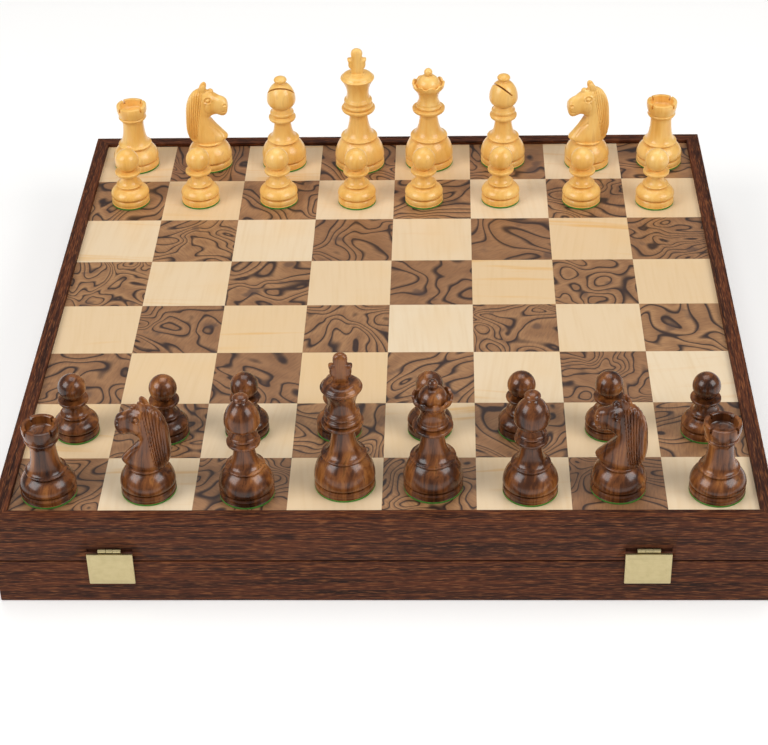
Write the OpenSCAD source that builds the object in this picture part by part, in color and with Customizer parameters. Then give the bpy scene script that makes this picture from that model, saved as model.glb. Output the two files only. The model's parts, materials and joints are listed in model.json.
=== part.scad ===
// Chess set on its case. The board is the lid of a flat hinged case, and the men stand on it.
// Origin: centre of the case's underside. +Z is up, +X runs along a rank to the right,
// +Y runs from the dark army, which stands at the clasps, to the light army at the hinges.

/* [Board] */
// Side of one full square
square = 50; // [44:0.5:60]
// Width of the rim seen from above, which is the thickness of the case's walls
rim_w = 8.5; // [6:0.5:12]
// How much of each outermost square the rim takes up
rim_trim = 2.5; // [0:0.5:4]
// Height of the rim above the squares
rim_lip = 2.5; // [1:0.5:4]
// Thickness of the veneer squares
veneer_t = 1.5; // [1:0.25:3]
// Thickness of the panel under the squares
panel_t = 5; // [3:0.5:8]

/* [Case] */
// Height of the base and of the lid, equal so that both lie flat when the case is open
half_h = 28; // [23:1:40]
// Thickness of the base's floor
floor_t = 4.5; // [3:0.5:8]
// Thickness of the felt linings
lining_t = 1; // [0.5:0.25:2]
// How far the linings stop short of the walls' meeting edges
lining_drop = 3; // [1:0.5:6]
// Width of the flat broken off the case's long outer edges
edge_break = 0.8; // [0.3:0.1:1.5]

/* [Hinges] */
// Distance of each hinge's middle from the case's middle
hinge_x = 120; // [60:5:150]
// Length of a hinge along its pin
hinge_len = 45; // [30:1:60]
// Height of a hinge leaf on its wall, knuckles left out
hinge_leaf_h = 13; // [9:0.5:16]
// Thickness of a hinge leaf
hinge_leaf_t = 1.2; // [0.8:0.1:1.4]
// Radius of a hinge's knuckles
hinge_barrel_r = 2.2; // [1.8:0.1:3]
// Radius of a hinge's pin
hinge_pin_r = 1; // [0.7:0.1:1.3]
// Number of knuckles on a hinge
hinge_knuckles = 5; // [3:2:9]
// Gap between the knuckles and the wall's back face
hinge_stand_off = 0.3; // [0.2:0.1:0.6]

/* [Clasps] */
// Half the distance between the clasps' middles
clasp_x = 142; // [60:0.5:160]
// How far both clasps sit to the right of an even spacing
clasp_offset = -2; // [-5:0.5:5]
// Width of a clasp's flap
flap_w = 24.5; // [18:0.5:32]
// Height of a clasp's flap
flap_h = 20; // [16:0.5:24]
// Thickness of a clasp's flap
flap_t = 1.8; // [1.6:0.1:2.6]
// How far the flap reaches above the seam
flap_rise = 6; // [5:0.5:8]
// Width of the sloping border round the flap's face
flap_border = 3; // [1:0.25:4]
// Depth of the sloping border at the flap's edge
flap_bevel = 0.5; // [0.2:0.05:0.8]
// Width of the clasp's leaf and knuckles on the lid
clasp_leaf_w = 12; // [9:0.5:16]
// Thickness of the clasp's leaf on the lid
clasp_leaf_t = 0.5; // [0.3:0.05:0.6]
// Radius of the clasp's knuckles
clasp_barrel_r = 1.1; // [0.9:0.05:1.3]
// Radius of the clasp's pin
clasp_pin_r = 0.45; // [0.3:0.05:0.6]
// Distance of the clasp's pin in front of the lid's face
clasp_pin_out = 0.4; // [0.2:0.05:0.6]
// Depth of the recess in the lid that takes the knuckles
recess_d = 1.2; // [1.1:0.1:2]
// Width of the catch plate on the base
catch_w = 16; // [13:0.5:20]
// Height of the catch plate on the base
catch_h = 8; // [6:0.5:10]
// Thickness of the catch plate
catch_t = 0.5; // [0.4:0.1:0.8]
// Radius of the catch's stud
stud_r = 2; // [1.2:0.1:2.5]

/* [Fits] */
// Radial play of a turning knuckle on its pin
pin_play = 0.05; // [0.03:0.01:0.09]
// Gap between neighbouring knuckles
knuckle_gap = 0.2; // [0.1:0.05:0.4]
// Gap between a clasp's knuckles and what they turn past
barrel_gap = 0.3; // [0.2:0.05:0.5]
// Gap between a clasp's flap and the catch plate behind it
flap_gap = 0.3; // [0.2:0.05:0.5]
// Gap all round a catch's stud in its slot
stud_gap = 0.4; // [0.2:0.1:0.8]

/* [Screws] */
// Radius of a screw's countersunk head
screw_head_r = 2.3; // [1.8:0.1:2.6]
// Radius of a screw's shank
screw_r = 1.1; // [0.8:0.1:1.3]
// Length of a screw from the face of its plate
screw_len = 6; // [4:0.5:7]
// Gap between a screw's head and its countersink
screw_gap = 0.05; // [0.03:0.01:0.1]

/* [All men] */
// Thickness of the felt under each man
felt_t = 1; // [0.6:0.1:1.6]
// How far the felt stops inside the foot's edge
felt_inset = 0.3; // [0.2:0.1:1.5]
// Height of the plinth's groove above the square
groove_z = 5; // [3.5:0.1:5.6]
// Thickness of the glue between a man and its felt
glue_t = 0.05; // [0.02:0.01:0.1]
// Depth of the plinth's groove
groove_d = 0.7; // [0.3:0.1:1]
// Height of the widest ring of the foot above the square
bulb_z = 7; // [6:0.1:8]
// Thickness of the skirt's edge
skirt_t = 1.3; // [0.8:0.1:2]
// Depth of the cove between the foot and the skirt's edge
cove_d = 1.3; // [0.6:0.1:1.8]

/* [King] */
// Radius of the king's foot
king_foot_r = 16.4; // [15:0.2:18]
// Radius and height of the king's skirt
king_skirt = [12.1, 22]; // [11:0.1:24]
// Height of the stem from the skirt to the neck
king_stem_h = 17.3; // [12:0.1:20]
// Radius of the king's neck
king_neck_r = 5.9; // [5:0.1:7]
// Height of the cup under the king's collar
king_cup_h = 2.6; // [1.5:0.1:6]
// Radius of the king's collar
king_collar_r = 11.1; // [9:0.1:13]
// Height of the rings on the king's collar
king_rings_h = 7.2; // [5:0.1:9]
// Radius of the crown's waist
king_waist_r = 7.1; // [6:0.1:8]
// Height of the crown from the rings to its edge
king_crown_h = 14.6; // [12:0.1:18]
// Radius of the crown's edge
king_crown_r = 11.1; // [10:0.1:13]
// Height of the cross above the crown's edge
king_cross_h = 17.7; // [14:0.1:20]
// Width of the cross over its arms
king_cross_w = 12.4; // [10:0.1:14]
// Thickness of the cross
king_cross_t = 5; // [4:0.1:6]

/* [Queen] */
// Radius of the queen's foot
queen_foot_r = 16; // [14.5:0.2:17.5]
// Radius and height of the queen's skirt
queen_skirt = [12.3, 21]; // [11:0.1:23]
// Height of the stem from the skirt to the neck
queen_stem_h = 16.7; // [12:0.1:20]
// Radius of the queen's neck
queen_neck_r = 5.9; // [5:0.1:7]
// Height of the cup under the queen's collar
queen_cup_h = 2.5; // [1.5:0.1:6]
// Radius of the queen's collar
queen_collar_r = 10.8; // [9:0.1:13]
// Height of the ring on the queen's collar
queen_ring_h = 4.6; // [3:0.1:6]
// Radius of the coronet's waist
queen_waist_r = 5.7; // [5:0.1:7]
// Height of the coronet from the ring to its points
queen_crown_h = 14; // [11:0.1:17]
// Radius over the coronet's points
queen_crown_r = 10.8; // [9:0.1:12]
// Number of the coronet's points
queen_points = 9; // [6:1:12]
// Height of the ball's top above the coronet's points
queen_top_h = 9.6; // [8:0.1:11]
// Radius of the ball
queen_ball_r = 2.8; // [2:0.1:3.4]

/* [Bishop] */
// Radius of the bishop's foot
bishop_foot_r = 14.8; // [13.5:0.2:16]
// Radius and height of the bishop's skirt
bishop_skirt = [10.6, 19.6]; // [10:0.1:21]
// Height of the stem from the skirt to the neck
bishop_stem_h = 12.9; // [9:0.1:15]
// Radius of the bishop's neck
bishop_neck_r = 5.5; // [4.5:0.1:6.5]
// Height of the cup under the bishop's collar
bishop_cup_h = 2; // [1.5:0.1:6]
// Radius of the bishop's collar
bishop_collar_r = 9; // [8:0.1:11]
// Height of the ring on the bishop's collar
bishop_ring_h = 5.1; // [4:0.1:7]
// Radius of the mitre
bishop_mitre_r = 10; // [8:0.1:11]
// Height of the mitre
bishop_mitre_h = 20.7; // [17:0.1:23]
// Radius of the finial
bishop_finial_r = 4.4; // [3:0.1:5]
// Height of the finial
bishop_finial_h = 4.8; // [3:0.1:6]
// Width of the mitre's saw cut
bishop_cut_w = 1; // [0.6:0.1:1.6]

/* [Rook] */
// Radius of the rook's foot
rook_foot_r = 15; // [13.5:0.2:16]
// Radius and height of the rook's skirt
rook_skirt = [11.1, 15.6]; // [10.5:0.1:17]
// Height of the stem from the skirt to the neck
rook_stem_h = 15.4; // [12:0.1:19]
// Radius of the rook's neck
rook_neck_r = 6.9; // [5.5:0.1:8]
// Height of the flare from the neck to the crown
rook_flare_h = 6; // [4:0.1:8]
// Radius of the crown's lower edge
rook_crown_low_r = 8.9; // [8:0.1:10]
// Radius of the crown's upper edge
rook_crown_r = 9.9; // [8.8:0.1:11]
// Height of the crown
rook_crown_h = 8; // [7:0.1:11]
// Wall of the crown at its upper edge
rook_wall = 2.2; // [1.6:0.1:3]
// Depth of the crown's cup
rook_cup_d = 4.6; // [3:0.1:6]
// Width of the crown's notches
rook_notch_w = 1.5; // [1:0.1:3]
// Depth of the crown's notches
rook_notch_d = 2.8; // [1.5:0.1:4]

/* [Knight] */
// Radius of the knight's foot
knight_foot_r = 14.8; // [13.5:0.2:16]
// Height of the foot under the carved horse
knight_foot_h = 17; // [15:0.1:19]
// Radius of the disc that the horse stands on
knight_disc_r = 10.4; // [9:0.1:12]
// Thickness of the horse at its chest
knight_chest_t = 17; // [14:0.2:20]
// Thickness of the horse at its ears
knight_head_t = 10; // [8:0.2:12]

/* [Pawn] */
// Radius of the pawn's foot
pawn_foot_r = 12.4; // [11:0.2:14]
// Radius and height of the pawn's skirt
pawn_skirt = [7.8, 14.4]; // [7.4:0.1:16]
// Height of the stem from the skirt to the neck
pawn_stem_h = 6.2; // [4:0.1:8]
// Radius of the pawn's neck
pawn_neck_r = 4.6; // [4:0.1:5.4]
// Height of the cup under the pawn's collar
pawn_cup_h = 1.8; // [1.2:0.1:5]
// Radius of the pawn's collar
pawn_collar_r = 8.4; // [7.5:0.1:9.5]
// Radius of the pawn's head
pawn_head_r = 7.7; // [6.8:0.1:8.4]

/* [Hidden] */
$fn = 64;
eps = 0.01;

files = 8;
field = files * square / 2 - rim_trim;   // half the width of the squares that show
outer = field + rim_w;                   // half the width of the case
board_z = 2 * half_h - rim_lip;          // height of the squares' face
panel_z = board_z - veneer_t - panel_t;  // height of the panel's underside
seam_z = half_h;

hinge_axis_y = outer + hinge_stand_off + hinge_barrel_r;
hinge_pitch = hinge_len / hinge_knuckles;
leaf_clear = hinge_barrel_r + hinge_stand_off;
hinge_screw_x = hinge_len * 0.36;

clasp_axis_y = outer + clasp_pin_out;
clasp_knuckle_w = clasp_leaf_w / 3;
flap_back_y = outer + max(catch_t, clasp_leaf_t) + flap_gap;
flap_top_z = seam_z + flap_rise;
clasp_axis_z = flap_top_z + clasp_barrel_r + barrel_gap;
stud_z = seam_z - (flap_h - flap_rise) / 2;
stud_reach = flap_t * 0.45;              // how far the stud goes into the flap
catch_screw_x = catch_w / 2 - screw_head_r - 0.4;
leaf_pin_r = 0.6;                        // barbed pins that hold the clasp's leaf in the lid
leaf_pin_len = 5;
leaf_pin_x = clasp_leaf_w / 2 - 2;
leaf_low_z = seam_z + 1;

wood_z = felt_t + glue_t;                // where the wood of a man begins

side_names = ["left", "right"];
back_rank = ["rook", "knight", "bishop", "king", "queen", "bishop", "knight", "rook"];
armies = ["dark", "light"];
wood = ["#7a4227", "#dca75c"];

// How far each man stands off the middle of its square, file by file
dark_back_shift = [[-2.9, -4], [0.4, -1.8], [3.2, -4.6], [5, 2.6], [2.1, 1], [3.5, -3], [0, -1], [2, -3.4]];
dark_pawn_shift = [[4.4, -1], [4.5, -2], [-1.2, 0], [0, 0], [0, 0.6], [0, 0], [-2.4, 0], [0, -1.5]];
light_back_shift = [
    [0.2, -0.8], [0, 0], [0.2, 0], [1.2, -1.8], [-2.3, 0], [-2.8, 0.6], [3.2, -2.3], [1.5, -1.6]];
light_pawn_shift = [
    [2.3, -0.3], [-1.7, 0.6], [-0.3, 0], [1, -1.7], [-5.3, -1.4], [-5.5, -0.6], [-3.1, -2.7], [-5.7, -4.6]];

// How far each man of the back rank is turned: 0 faces +X, 180 faces -X
dark_turn = [0, 172, 90, 0, 0, 90, 160, 0];
light_turn = [0, 2, -90, 0, 0, -140, 194, 0];

function ordinal(i) = (i < 4) ? 1 : 2;
function man_name(army, file) = (back_rank[file] == "king" || back_rank[file] == "queen")
    ? str(armies[army], "_", back_rank[file])
    : str(armies[army], "_", back_rank[file], "_", ordinal(file));
function pawn_name(army, file) = str(armies[army], "_pawn_", file + 1);
function clasp_at(side) = side * clasp_x + clasp_offset;
function file_x(file) = (file - (files - 1) / 2) * square;
function rank_y(army, rank) = (army == 0 ? -1 : 1) * ((files - 1) / 2 - rank) * square;

case_nodes = [
    "base_front_wall", "base_right_wall", "base_back_wall", "base_left_wall", "base_floor", "base_lining",
    "lid_front_wall", "lid_right_wall", "lid_back_wall", "lid_left_wall", "lid_panel", "lid_lining",
    "light_squares", "dark_squares", "base_screws", "lid_screws"];
fitting_nodes = [for (side = side_names) for (piece = [
    "hinge_base_leaf", "hinge_lid_leaf", "hinge_pin", "clasp_leaf", "clasp_flap", "clasp_catch"])
    str(side, "_", piece)];
men_nodes = [for (army = [0, 1]) for (file = [0:files - 1])
    for (name = [man_name(army, file), pawn_name(army, file)]) name];

// ---- Outlines -------------------------------------------------------------------------------

// Points of an ellipse's arc about centre c, with radii r, from angle a to angle b
function arc(c, r, a, b, n = 6) =
    [for (i = [0:n]) let (t = a + (b - a) * i / n) [c[0] + r[0] * cos(t), c[1] + r[1] * sin(t)]];

// Half outline of a foot, from the felt up to the skirt's edge. skirt = [radius, height].
function foot_outline(foot_r, skirt) =
    let (top_z = skirt[1] - skirt_t - 0.6, in_r = skirt[0] - cove_d)
    concat(
        [[0, wood_z], [foot_r - felt_inset, wood_z]],
        arc([foot_r - 1, (wood_z + groove_z) / 2], [0.9, (groove_z - wood_z) / 2], -60, 60, 4),
        [[foot_r - groove_d, groove_z]],
        arc([in_r, bulb_z], [foot_r - in_r, bulb_z - groove_z], -55, 0, 3),
        arc([in_r, bulb_z], [foot_r - in_r, top_z - bulb_z], 12, 90, 6),
        [[in_r, skirt[1] - skirt_t]]);

// Half outline of a skirt's rounded edge and the hollow stem above it
function stem_outline(skirt, stem_h, neck_r) =
    concat(
        arc([skirt[0] - skirt_t / 2, skirt[1] - skirt_t / 2], [skirt_t / 2, skirt_t / 2], -90, 60, 4),
        arc([skirt[0] - 0.4, skirt[1] + stem_h], [skirt[0] - 0.4 - neck_r, stem_h], 265, 180, 7));

// Half outline of a cup that opens from the neck to a collar, and the collar's rounded edge
function cup_outline(neck_r, neck_z, cup_h, collar_r) =
    concat(
        arc([neck_r, neck_z + cup_h], [collar_r - neck_r, cup_h], -80, 0, 5),
        arc([collar_r - 0.5, neck_z + cup_h + 0.5], [0.5, 0.5], 0, 90, 2));

// Half outline of a round bead of height h that stands out to radius r
function bead_outline(r, z, h) = arc([r - h / 2, z + h / 2], [h / 2, h / 2], -70, 70, 4);

function upper_z(skirt, stem_h, cup_h) = skirt[1] + stem_h + cup_h;

// ---- The case -------------------------------------------------------------------------------

// A wall of the case on the -Y side, mitred at both ends
module wall(z0) {
    intersection() {
        translate([-outer, 0, z0]) rotate([90, 0, 90]) linear_extrude(2 * outer) polygon([
            [-field, 0], [-outer + edge_break, 0], [-outer, edge_break],
            [-outer, half_h - edge_break], [-outer + edge_break, half_h], [-field, half_h]]);
        translate([0, 0, z0]) linear_extrude(half_h)
            polygon([[-outer, -outer], [outer, -outer], [field, -field], [-field, -field]]);
    }
}

// The same wall turned to one of the four sides: 0 front, 1 right, 2 back, 3 left
module side_wall(side, z0) rotate([0, 0, 90 * side]) wall(z0);

module base_wall(side) {
    color("#3b2a22") difference() {
        side_wall(side, 0);
        if (side == 2) hinge_holes(-1);
        if (side == 0) catch_holes();
    }
}

module lid_wall(side) {
    color("#3b2a22") difference() {
        side_wall(side, half_h);
        if (side == 2) hinge_holes(1);
        if (side == 0) clasp_recesses();
    }
}

module base_floor() color("#6b4a33")
    translate([-field, -field, 0]) cube([2 * field, 2 * field, floor_t]);

module lid_panel() color("#6b4a33")
    translate([-field, -field, panel_z]) cube([2 * field, 2 * field, panel_t]);

// A tray of felt against the walls, open upwards, whose sheet lies at height z
module lining(z, h) {
    difference() {
        translate([-field, -field, z]) cube([2 * field, 2 * field, h]);
        translate([-field + lining_t, -field + lining_t, z + lining_t])
            cube([2 * (field - lining_t), 2 * (field - lining_t), h]);
    }
}

module base_lining() color("#2e7d32") lining(floor_t, seam_z - lining_drop - floor_t);

module lid_lining() color("#2e7d32")
    mirror([0, 0, 1]) lining(-panel_z, panel_z - seam_z - lining_drop);

// The squares of one colour, each cut off at the rim
module squares(parity) {
    for (i = [0:files - 1], j = [0:files - 1])
        if ((i + j) % 2 == parity) {
            x0 = max(-field, (i - files / 2) * square);
            x1 = min(field, (i + 1 - files / 2) * square);
            y0 = max(-field, (j - files / 2) * square);
            y1 = min(field, (j + 1 - files / 2) * square);
            translate([x0, y0, board_z - veneer_t]) cube([x1 - x0, y1 - y0, veneer_t]);
        }
}

module dark_squares() color("#6e4a3a") squares(0);
module light_squares() color("#e3c9a0") squares(1);

// ---- Screws ---------------------------------------------------------------------------------

// A slotted countersunk screw whose head is flush with z = 0, and which points down
module screw(head_t) {
    difference() {
        union() {
            translate([0, 0, -head_t]) cylinder(h = head_t, r1 = screw_r, r2 = screw_head_r);
            translate([0, 0, -screw_len]) cylinder(h = screw_len - head_t + eps, r = screw_r);
        }
        translate([-screw_head_r, -0.25, -0.5]) cube([2 * screw_head_r, 0.5, 1]);
    }
}

// The countersunk hole for that screw
module screw_hole(head_t) {
    translate([0, 0, -head_t])
        cylinder(h = head_t + eps, r1 = screw_r + screw_gap, r2 = screw_head_r + screw_gap);
    translate([0, 0, -screw_len]) cylinder(h = screw_len, r = screw_r);
}

// Places of a hinge's three screws on its leaf, up or down from the seam, heads outwards
module hinge_screw_places(up) {
    for (side = [-1, 1], x = [-hinge_screw_x, 0, hinge_screw_x])
        translate([side * hinge_x + x, outer + hinge_leaf_t,
                   seam_z + up * (leaf_clear + hinge_leaf_h * (x == 0 ? 0.35 : 0.6))])
            rotate([-90, 0, 0]) children();
}

module hinge_holes(up) hinge_screw_places(up) screw_hole(hinge_leaf_t);

module catch_screw_places() {
    for (side = [-1, 1], x = [-catch_screw_x, catch_screw_x])
        translate([clasp_at(side) + x, -outer - catch_t, stud_z]) rotate([90, 0, 0]) children();
}

module catch_holes() catch_screw_places() screw_hole(catch_t);

module base_screws() color("#c9b27a") {
    hinge_screw_places(-1) screw(hinge_leaf_t);
    catch_screw_places() screw(catch_t);
}

module lid_screws() color("#c9b27a") hinge_screw_places(1) screw(hinge_leaf_t);

// ---- Hinges ---------------------------------------------------------------------------------

// The knuckles of one leaf, on the axis: first = 0 takes knuckles 0, 2, 4, first = 1 takes 1, 3
module hinge_knuckles_of(first, up, bore_r) {
    for (k = [first:2:hinge_knuckles - 1])
        translate([-hinge_len / 2 + k * hinge_pitch + knuckle_gap / 2, hinge_axis_y, seam_z])
            difference() {
                union() {
                    rotate([0, 90, 0]) cylinder(h = hinge_pitch - knuckle_gap, r = hinge_barrel_r);
                    translate([0, outer - hinge_axis_y, up > 0 ? hinge_stand_off : -leaf_clear - eps])
                        cube([hinge_pitch - knuckle_gap, hinge_axis_y - outer,
                              leaf_clear - hinge_stand_off + eps]);
                }
                translate([-1, 0, 0]) rotate([0, 90, 0]) cylinder(h = hinge_pitch + 2, r = bore_r);
            }
}

module hinge_leaf(side, first, up, bore_r) {
    z0 = up > 0 ? seam_z + leaf_clear : seam_z - leaf_clear - hinge_leaf_h;
    translate([side * hinge_x, 0, 0]) hinge_knuckles_of(first, up, bore_r);
    difference() {
        translate([side * hinge_x - hinge_len / 2 + knuckle_gap / 2, outer, z0])
            cube([hinge_len - knuckle_gap, hinge_leaf_t, hinge_leaf_h]);
        hinge_screw_places(up) screw_hole(hinge_leaf_t);
    }
}

module hinge_base_leaf(side) color("#d8c48a") hinge_leaf(side, 0, -1, hinge_pin_r);
module hinge_lid_leaf(side) color("#d8c48a") hinge_leaf(side, 1, 1, hinge_pin_r + pin_play);

module hinge_pin(side) color("#c9b27a")
    translate([side * hinge_x - hinge_len / 2 + knuckle_gap / 2, hinge_axis_y, seam_z])
        rotate([0, 90, 0]) cylinder(h = hinge_len - knuckle_gap, r = hinge_pin_r);

// ---- Clasps ---------------------------------------------------------------------------------

// One clasp knuckle of width w from x0 on the clasp's axis
module clasp_barrel(x0, w, r)
    translate([x0, -clasp_axis_y, clasp_axis_z]) rotate([0, 90, 0]) cylinder(h = w, r = r);

// Barbed pins behind a clasp's leaf, or the holes they fill
module leaf_pins(side) {
    for (x = [-leaf_pin_x, leaf_pin_x])
        translate([clasp_at(side) + x, -outer - eps, (leaf_low_z + flap_top_z) / 2])
            rotate([-90, 0, 0]) cylinder(h = leaf_pin_len, r = leaf_pin_r);
}

// What is cut out of the lid's front wall for the clasps
module clasp_recesses() {
    top_z = clasp_axis_z + clasp_barrel_r + barrel_gap;
    low_z = clasp_axis_z - clasp_barrel_r - barrel_gap;
    for (side = [-1, 1]) {
        leaf_pins(side);
        translate([clasp_at(side) - flap_w / 2, -outer - 1, low_z])
            cube([flap_w, recess_d + 1, top_z - low_z]);
    }
}

// The lid's half of a clasp: a leaf behind the flap, two knuckles and the pin they hold
module clasp_leaf(side) color("#e0cfa0") {
    at_x = clasp_at(side);
    translate([at_x - clasp_leaf_w / 2, -outer - clasp_leaf_t, leaf_low_z])
        cube([clasp_leaf_w, clasp_leaf_t, flap_top_z - leaf_low_z]);
    for (x = [-clasp_leaf_w / 2, clasp_knuckle_w / 2]) {
        clasp_barrel(at_x + x, clasp_knuckle_w, clasp_barrel_r);
        translate([at_x + x, -outer - clasp_leaf_t, flap_top_z - eps])
            cube([clasp_knuckle_w, clasp_leaf_t, clasp_axis_z - flap_top_z + eps]);
    }
    clasp_barrel(at_x - clasp_leaf_w / 2, clasp_leaf_w, clasp_pin_r);
    leaf_pins(side);
}

// The flap's plate: flat behind, with a border that slopes back to all four edges
module flap_plate(at_x, plate_z) {
    front = flap_back_y + flap_t;
    edge = front - flap_bevel;
    intersection() {
        translate([at_x - flap_w / 2, 0, plate_z]) rotate([90, 0, 90]) linear_extrude(flap_w) polygon([
            [-flap_back_y, 0], [-edge, 0], [-front, flap_border],
            [-front, flap_h - flap_border], [-edge, flap_h], [-flap_back_y, flap_h]]);
        translate([at_x, 0, plate_z]) linear_extrude(flap_h) polygon([
            [-flap_w / 2, -flap_back_y], [-flap_w / 2, -edge], [-flap_w / 2 + flap_border, -front],
            [flap_w / 2 - flap_border, -front], [flap_w / 2, -edge], [flap_w / 2, -flap_back_y]]);
    }
}

// The flap with the knuckle at its top, and in its back a slot, open downwards, for the stud
module clasp_flap(side) color("#e0cfa0") {
    at_x = clasp_at(side);
    plate_z = flap_top_z - flap_h;
    slot_w = 2 * (stud_r + stud_gap);
    slot_d = stud_reach + 0.2;
    knuckle_w = clasp_knuckle_w - 2 * knuckle_gap;
    neck_t = clasp_axis_y + clasp_barrel_r - flap_back_y;
    difference() {
        union() {
            flap_plate(at_x, plate_z);
            clasp_barrel(at_x - knuckle_w / 2, knuckle_w, clasp_barrel_r);
            translate([at_x - knuckle_w / 2, -flap_back_y - neck_t, flap_top_z - eps])
                cube([knuckle_w, neck_t, clasp_axis_z - flap_top_z + eps]);
        }
        clasp_barrel(at_x - clasp_knuckle_w, 2 * clasp_knuckle_w, clasp_pin_r + pin_play);
        translate([at_x - slot_w / 2, -flap_back_y - slot_d, plate_z - 1])
            cube([slot_w, slot_d + 1, stud_z - plate_z + 1]);
        translate([at_x, -flap_back_y - slot_d, stud_z])
            rotate([-90, 0, 0]) cylinder(h = slot_d + 1, r = slot_w / 2);
    }
}

// The base's half of a clasp: a plate with a round stud
module clasp_catch(side) color("#d8c48a") {
    difference() {
        union() {
            translate([clasp_at(side) - catch_w / 2, -outer - catch_t, stud_z - catch_h / 2])
                cube([catch_w, catch_t, catch_h]);
            translate([clasp_at(side), -outer - eps, stud_z]) rotate([90, 0, 0])
                cylinder(h = flap_back_y - outer + stud_reach + eps, r = stud_r);
        }
        catch_holes();
    }
}

// ---- The men --------------------------------------------------------------------------------

// A turned man: its half outline spun round, and its felt as a piece of its own
module turned(foot_r, outline) {
    rotate_extrude() polygon(outline);
    cylinder(h = felt_t, r = foot_r - felt_inset);
}

// Outline of the cross, standing on height z
function cross_outline(z) =
    let (a = king_cross_w / 2, h = king_cross_h,
         right = [
             [4.1, z], [4.1, z + h * 0.2], [a - 1.1, z + h * 0.24], [a - 0.6, z + h * 0.36],
             [a - 0.2, z + h * 0.5], [a, z + h * 0.6], [a - 2.4, z + h * 0.62], [a - 2, z + h * 0.7],
             [a - 1.8, z + h * 0.84], [a - 2.8, z + h * 0.96], [a - 4.2, z + h], [0, z + h]])
    concat(right, [for (i = [len(right) - 2:-1:0]) [-right[i][0], right[i][1]]]);

module king() {
    neck_z = king_skirt[1] + king_stem_h;
    rings_z = upper_z(king_skirt, king_stem_h, king_cup_h) + 1;
    crown_z = rings_z + king_rings_h;
    edge_z = crown_z + king_crown_h;
    dome_h = 2.6;
    turned(king_foot_r, concat(
        foot_outline(king_foot_r, king_skirt),
        stem_outline(king_skirt, king_stem_h, king_neck_r),
        cup_outline(king_neck_r, neck_z, king_cup_h, king_collar_r),
        bead_outline(king_collar_r - 1.3, rings_z, king_rings_h * 0.42),
        bead_outline(king_collar_r - 1.8, rings_z + king_rings_h * 0.48, king_rings_h * 0.42),
        arc([king_crown_r - 0.2, crown_z],
            [king_crown_r - 0.2 - king_waist_r, king_crown_h - 1], 180, 100, 7),
        arc([king_crown_r - 0.6, edge_z - 0.6], [0.6, 0.6], -30, 90, 3),
        arc([5.4, edge_z], [king_crown_r - 6.4, dome_h], 10, 80, 4),
        [[5.4, edge_z + dome_h], [4.1, edge_z + dome_h + 0.9], [0, edge_z + dome_h + 0.9]]));
    translate([0, king_cross_t / 2, 0]) rotate([90, 0, 0])
        linear_extrude(king_cross_t) polygon(cross_outline(edge_z + dome_h));
}

module queen() {
    neck_z = queen_skirt[1] + queen_stem_h;
    ring_z = upper_z(queen_skirt, queen_stem_h, queen_cup_h) + 1;
    crown_z = ring_z + queen_ring_h;
    edge_z = crown_z + queen_crown_h;
    moat_d = 2.5;                        // depth of the hollow between the points and the dome
    rim_in_r = queen_crown_r - 1.2;
    dome_r = rim_in_r - 1.5;
    ball_z = edge_z + queen_top_h - queen_ball_r;
    difference() {
        turned(queen_foot_r, concat(
            foot_outline(queen_foot_r, queen_skirt),
            stem_outline(queen_skirt, queen_stem_h, queen_neck_r),
            cup_outline(queen_neck_r, neck_z, queen_cup_h, queen_collar_r),
            bead_outline(queen_waist_r + 1.9, ring_z, queen_ring_h * 0.6),
            arc([queen_crown_r - 0.6, crown_z],
                [queen_crown_r - 0.6 - queen_waist_r, queen_crown_h - moat_d - 1], 180, 95, 7),
            [[queen_crown_r, edge_z], [rim_in_r, edge_z], [rim_in_r - 0.6, edge_z - moat_d],
             [dome_r, edge_z - moat_d]],
            arc([0, edge_z - moat_d], [dome_r, ball_z - queen_ball_r + 1 - edge_z + moat_d], 12, 75, 5),
            arc([0, ball_z], [queen_ball_r, queen_ball_r], -55, 90, 7)));
        for (i = [0:queen_points - 1])
            rotate([0, 0, (i + 0.5) * 360 / queen_points]) translate([rim_in_r - 0.9, 0, edge_z + 0.9])
                rotate([0, 90, 0]) cylinder(h = 6, r = 2.3);
    }
}

module bishop() {
    neck_z = bishop_skirt[1] + bishop_stem_h;
    ring_z = upper_z(bishop_skirt, bishop_stem_h, bishop_cup_h) + 1;
    mitre_z = ring_z + bishop_ring_h;
    wide_z = mitre_z + bishop_mitre_h * 0.38;
    finial_z = mitre_z + bishop_mitre_h;
    difference() {
        turned(bishop_foot_r, concat(
            foot_outline(bishop_foot_r, bishop_skirt),
            stem_outline(bishop_skirt, bishop_stem_h, bishop_neck_r),
            cup_outline(bishop_neck_r, neck_z, bishop_cup_h, bishop_collar_r),
            bead_outline(bishop_collar_r - 1.2, ring_z, bishop_ring_h * 0.5),
            arc([0, wide_z], [bishop_mitre_r, wide_z - mitre_z], -50, 0, 4),
            arc([0, wide_z], [bishop_mitre_r, finial_z - wide_z + 0.8], 10, 70, 6),
            arc([0, finial_z + bishop_finial_h / 2], [bishop_finial_r, bishop_finial_h / 2], -45, 90, 6)));
        translate([0, 0, wide_z + 4]) rotate([0, -50, 0])
            translate([0, -15, -bishop_cut_w / 2]) cube([15, 30, bishop_cut_w]);
    }
}

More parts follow.
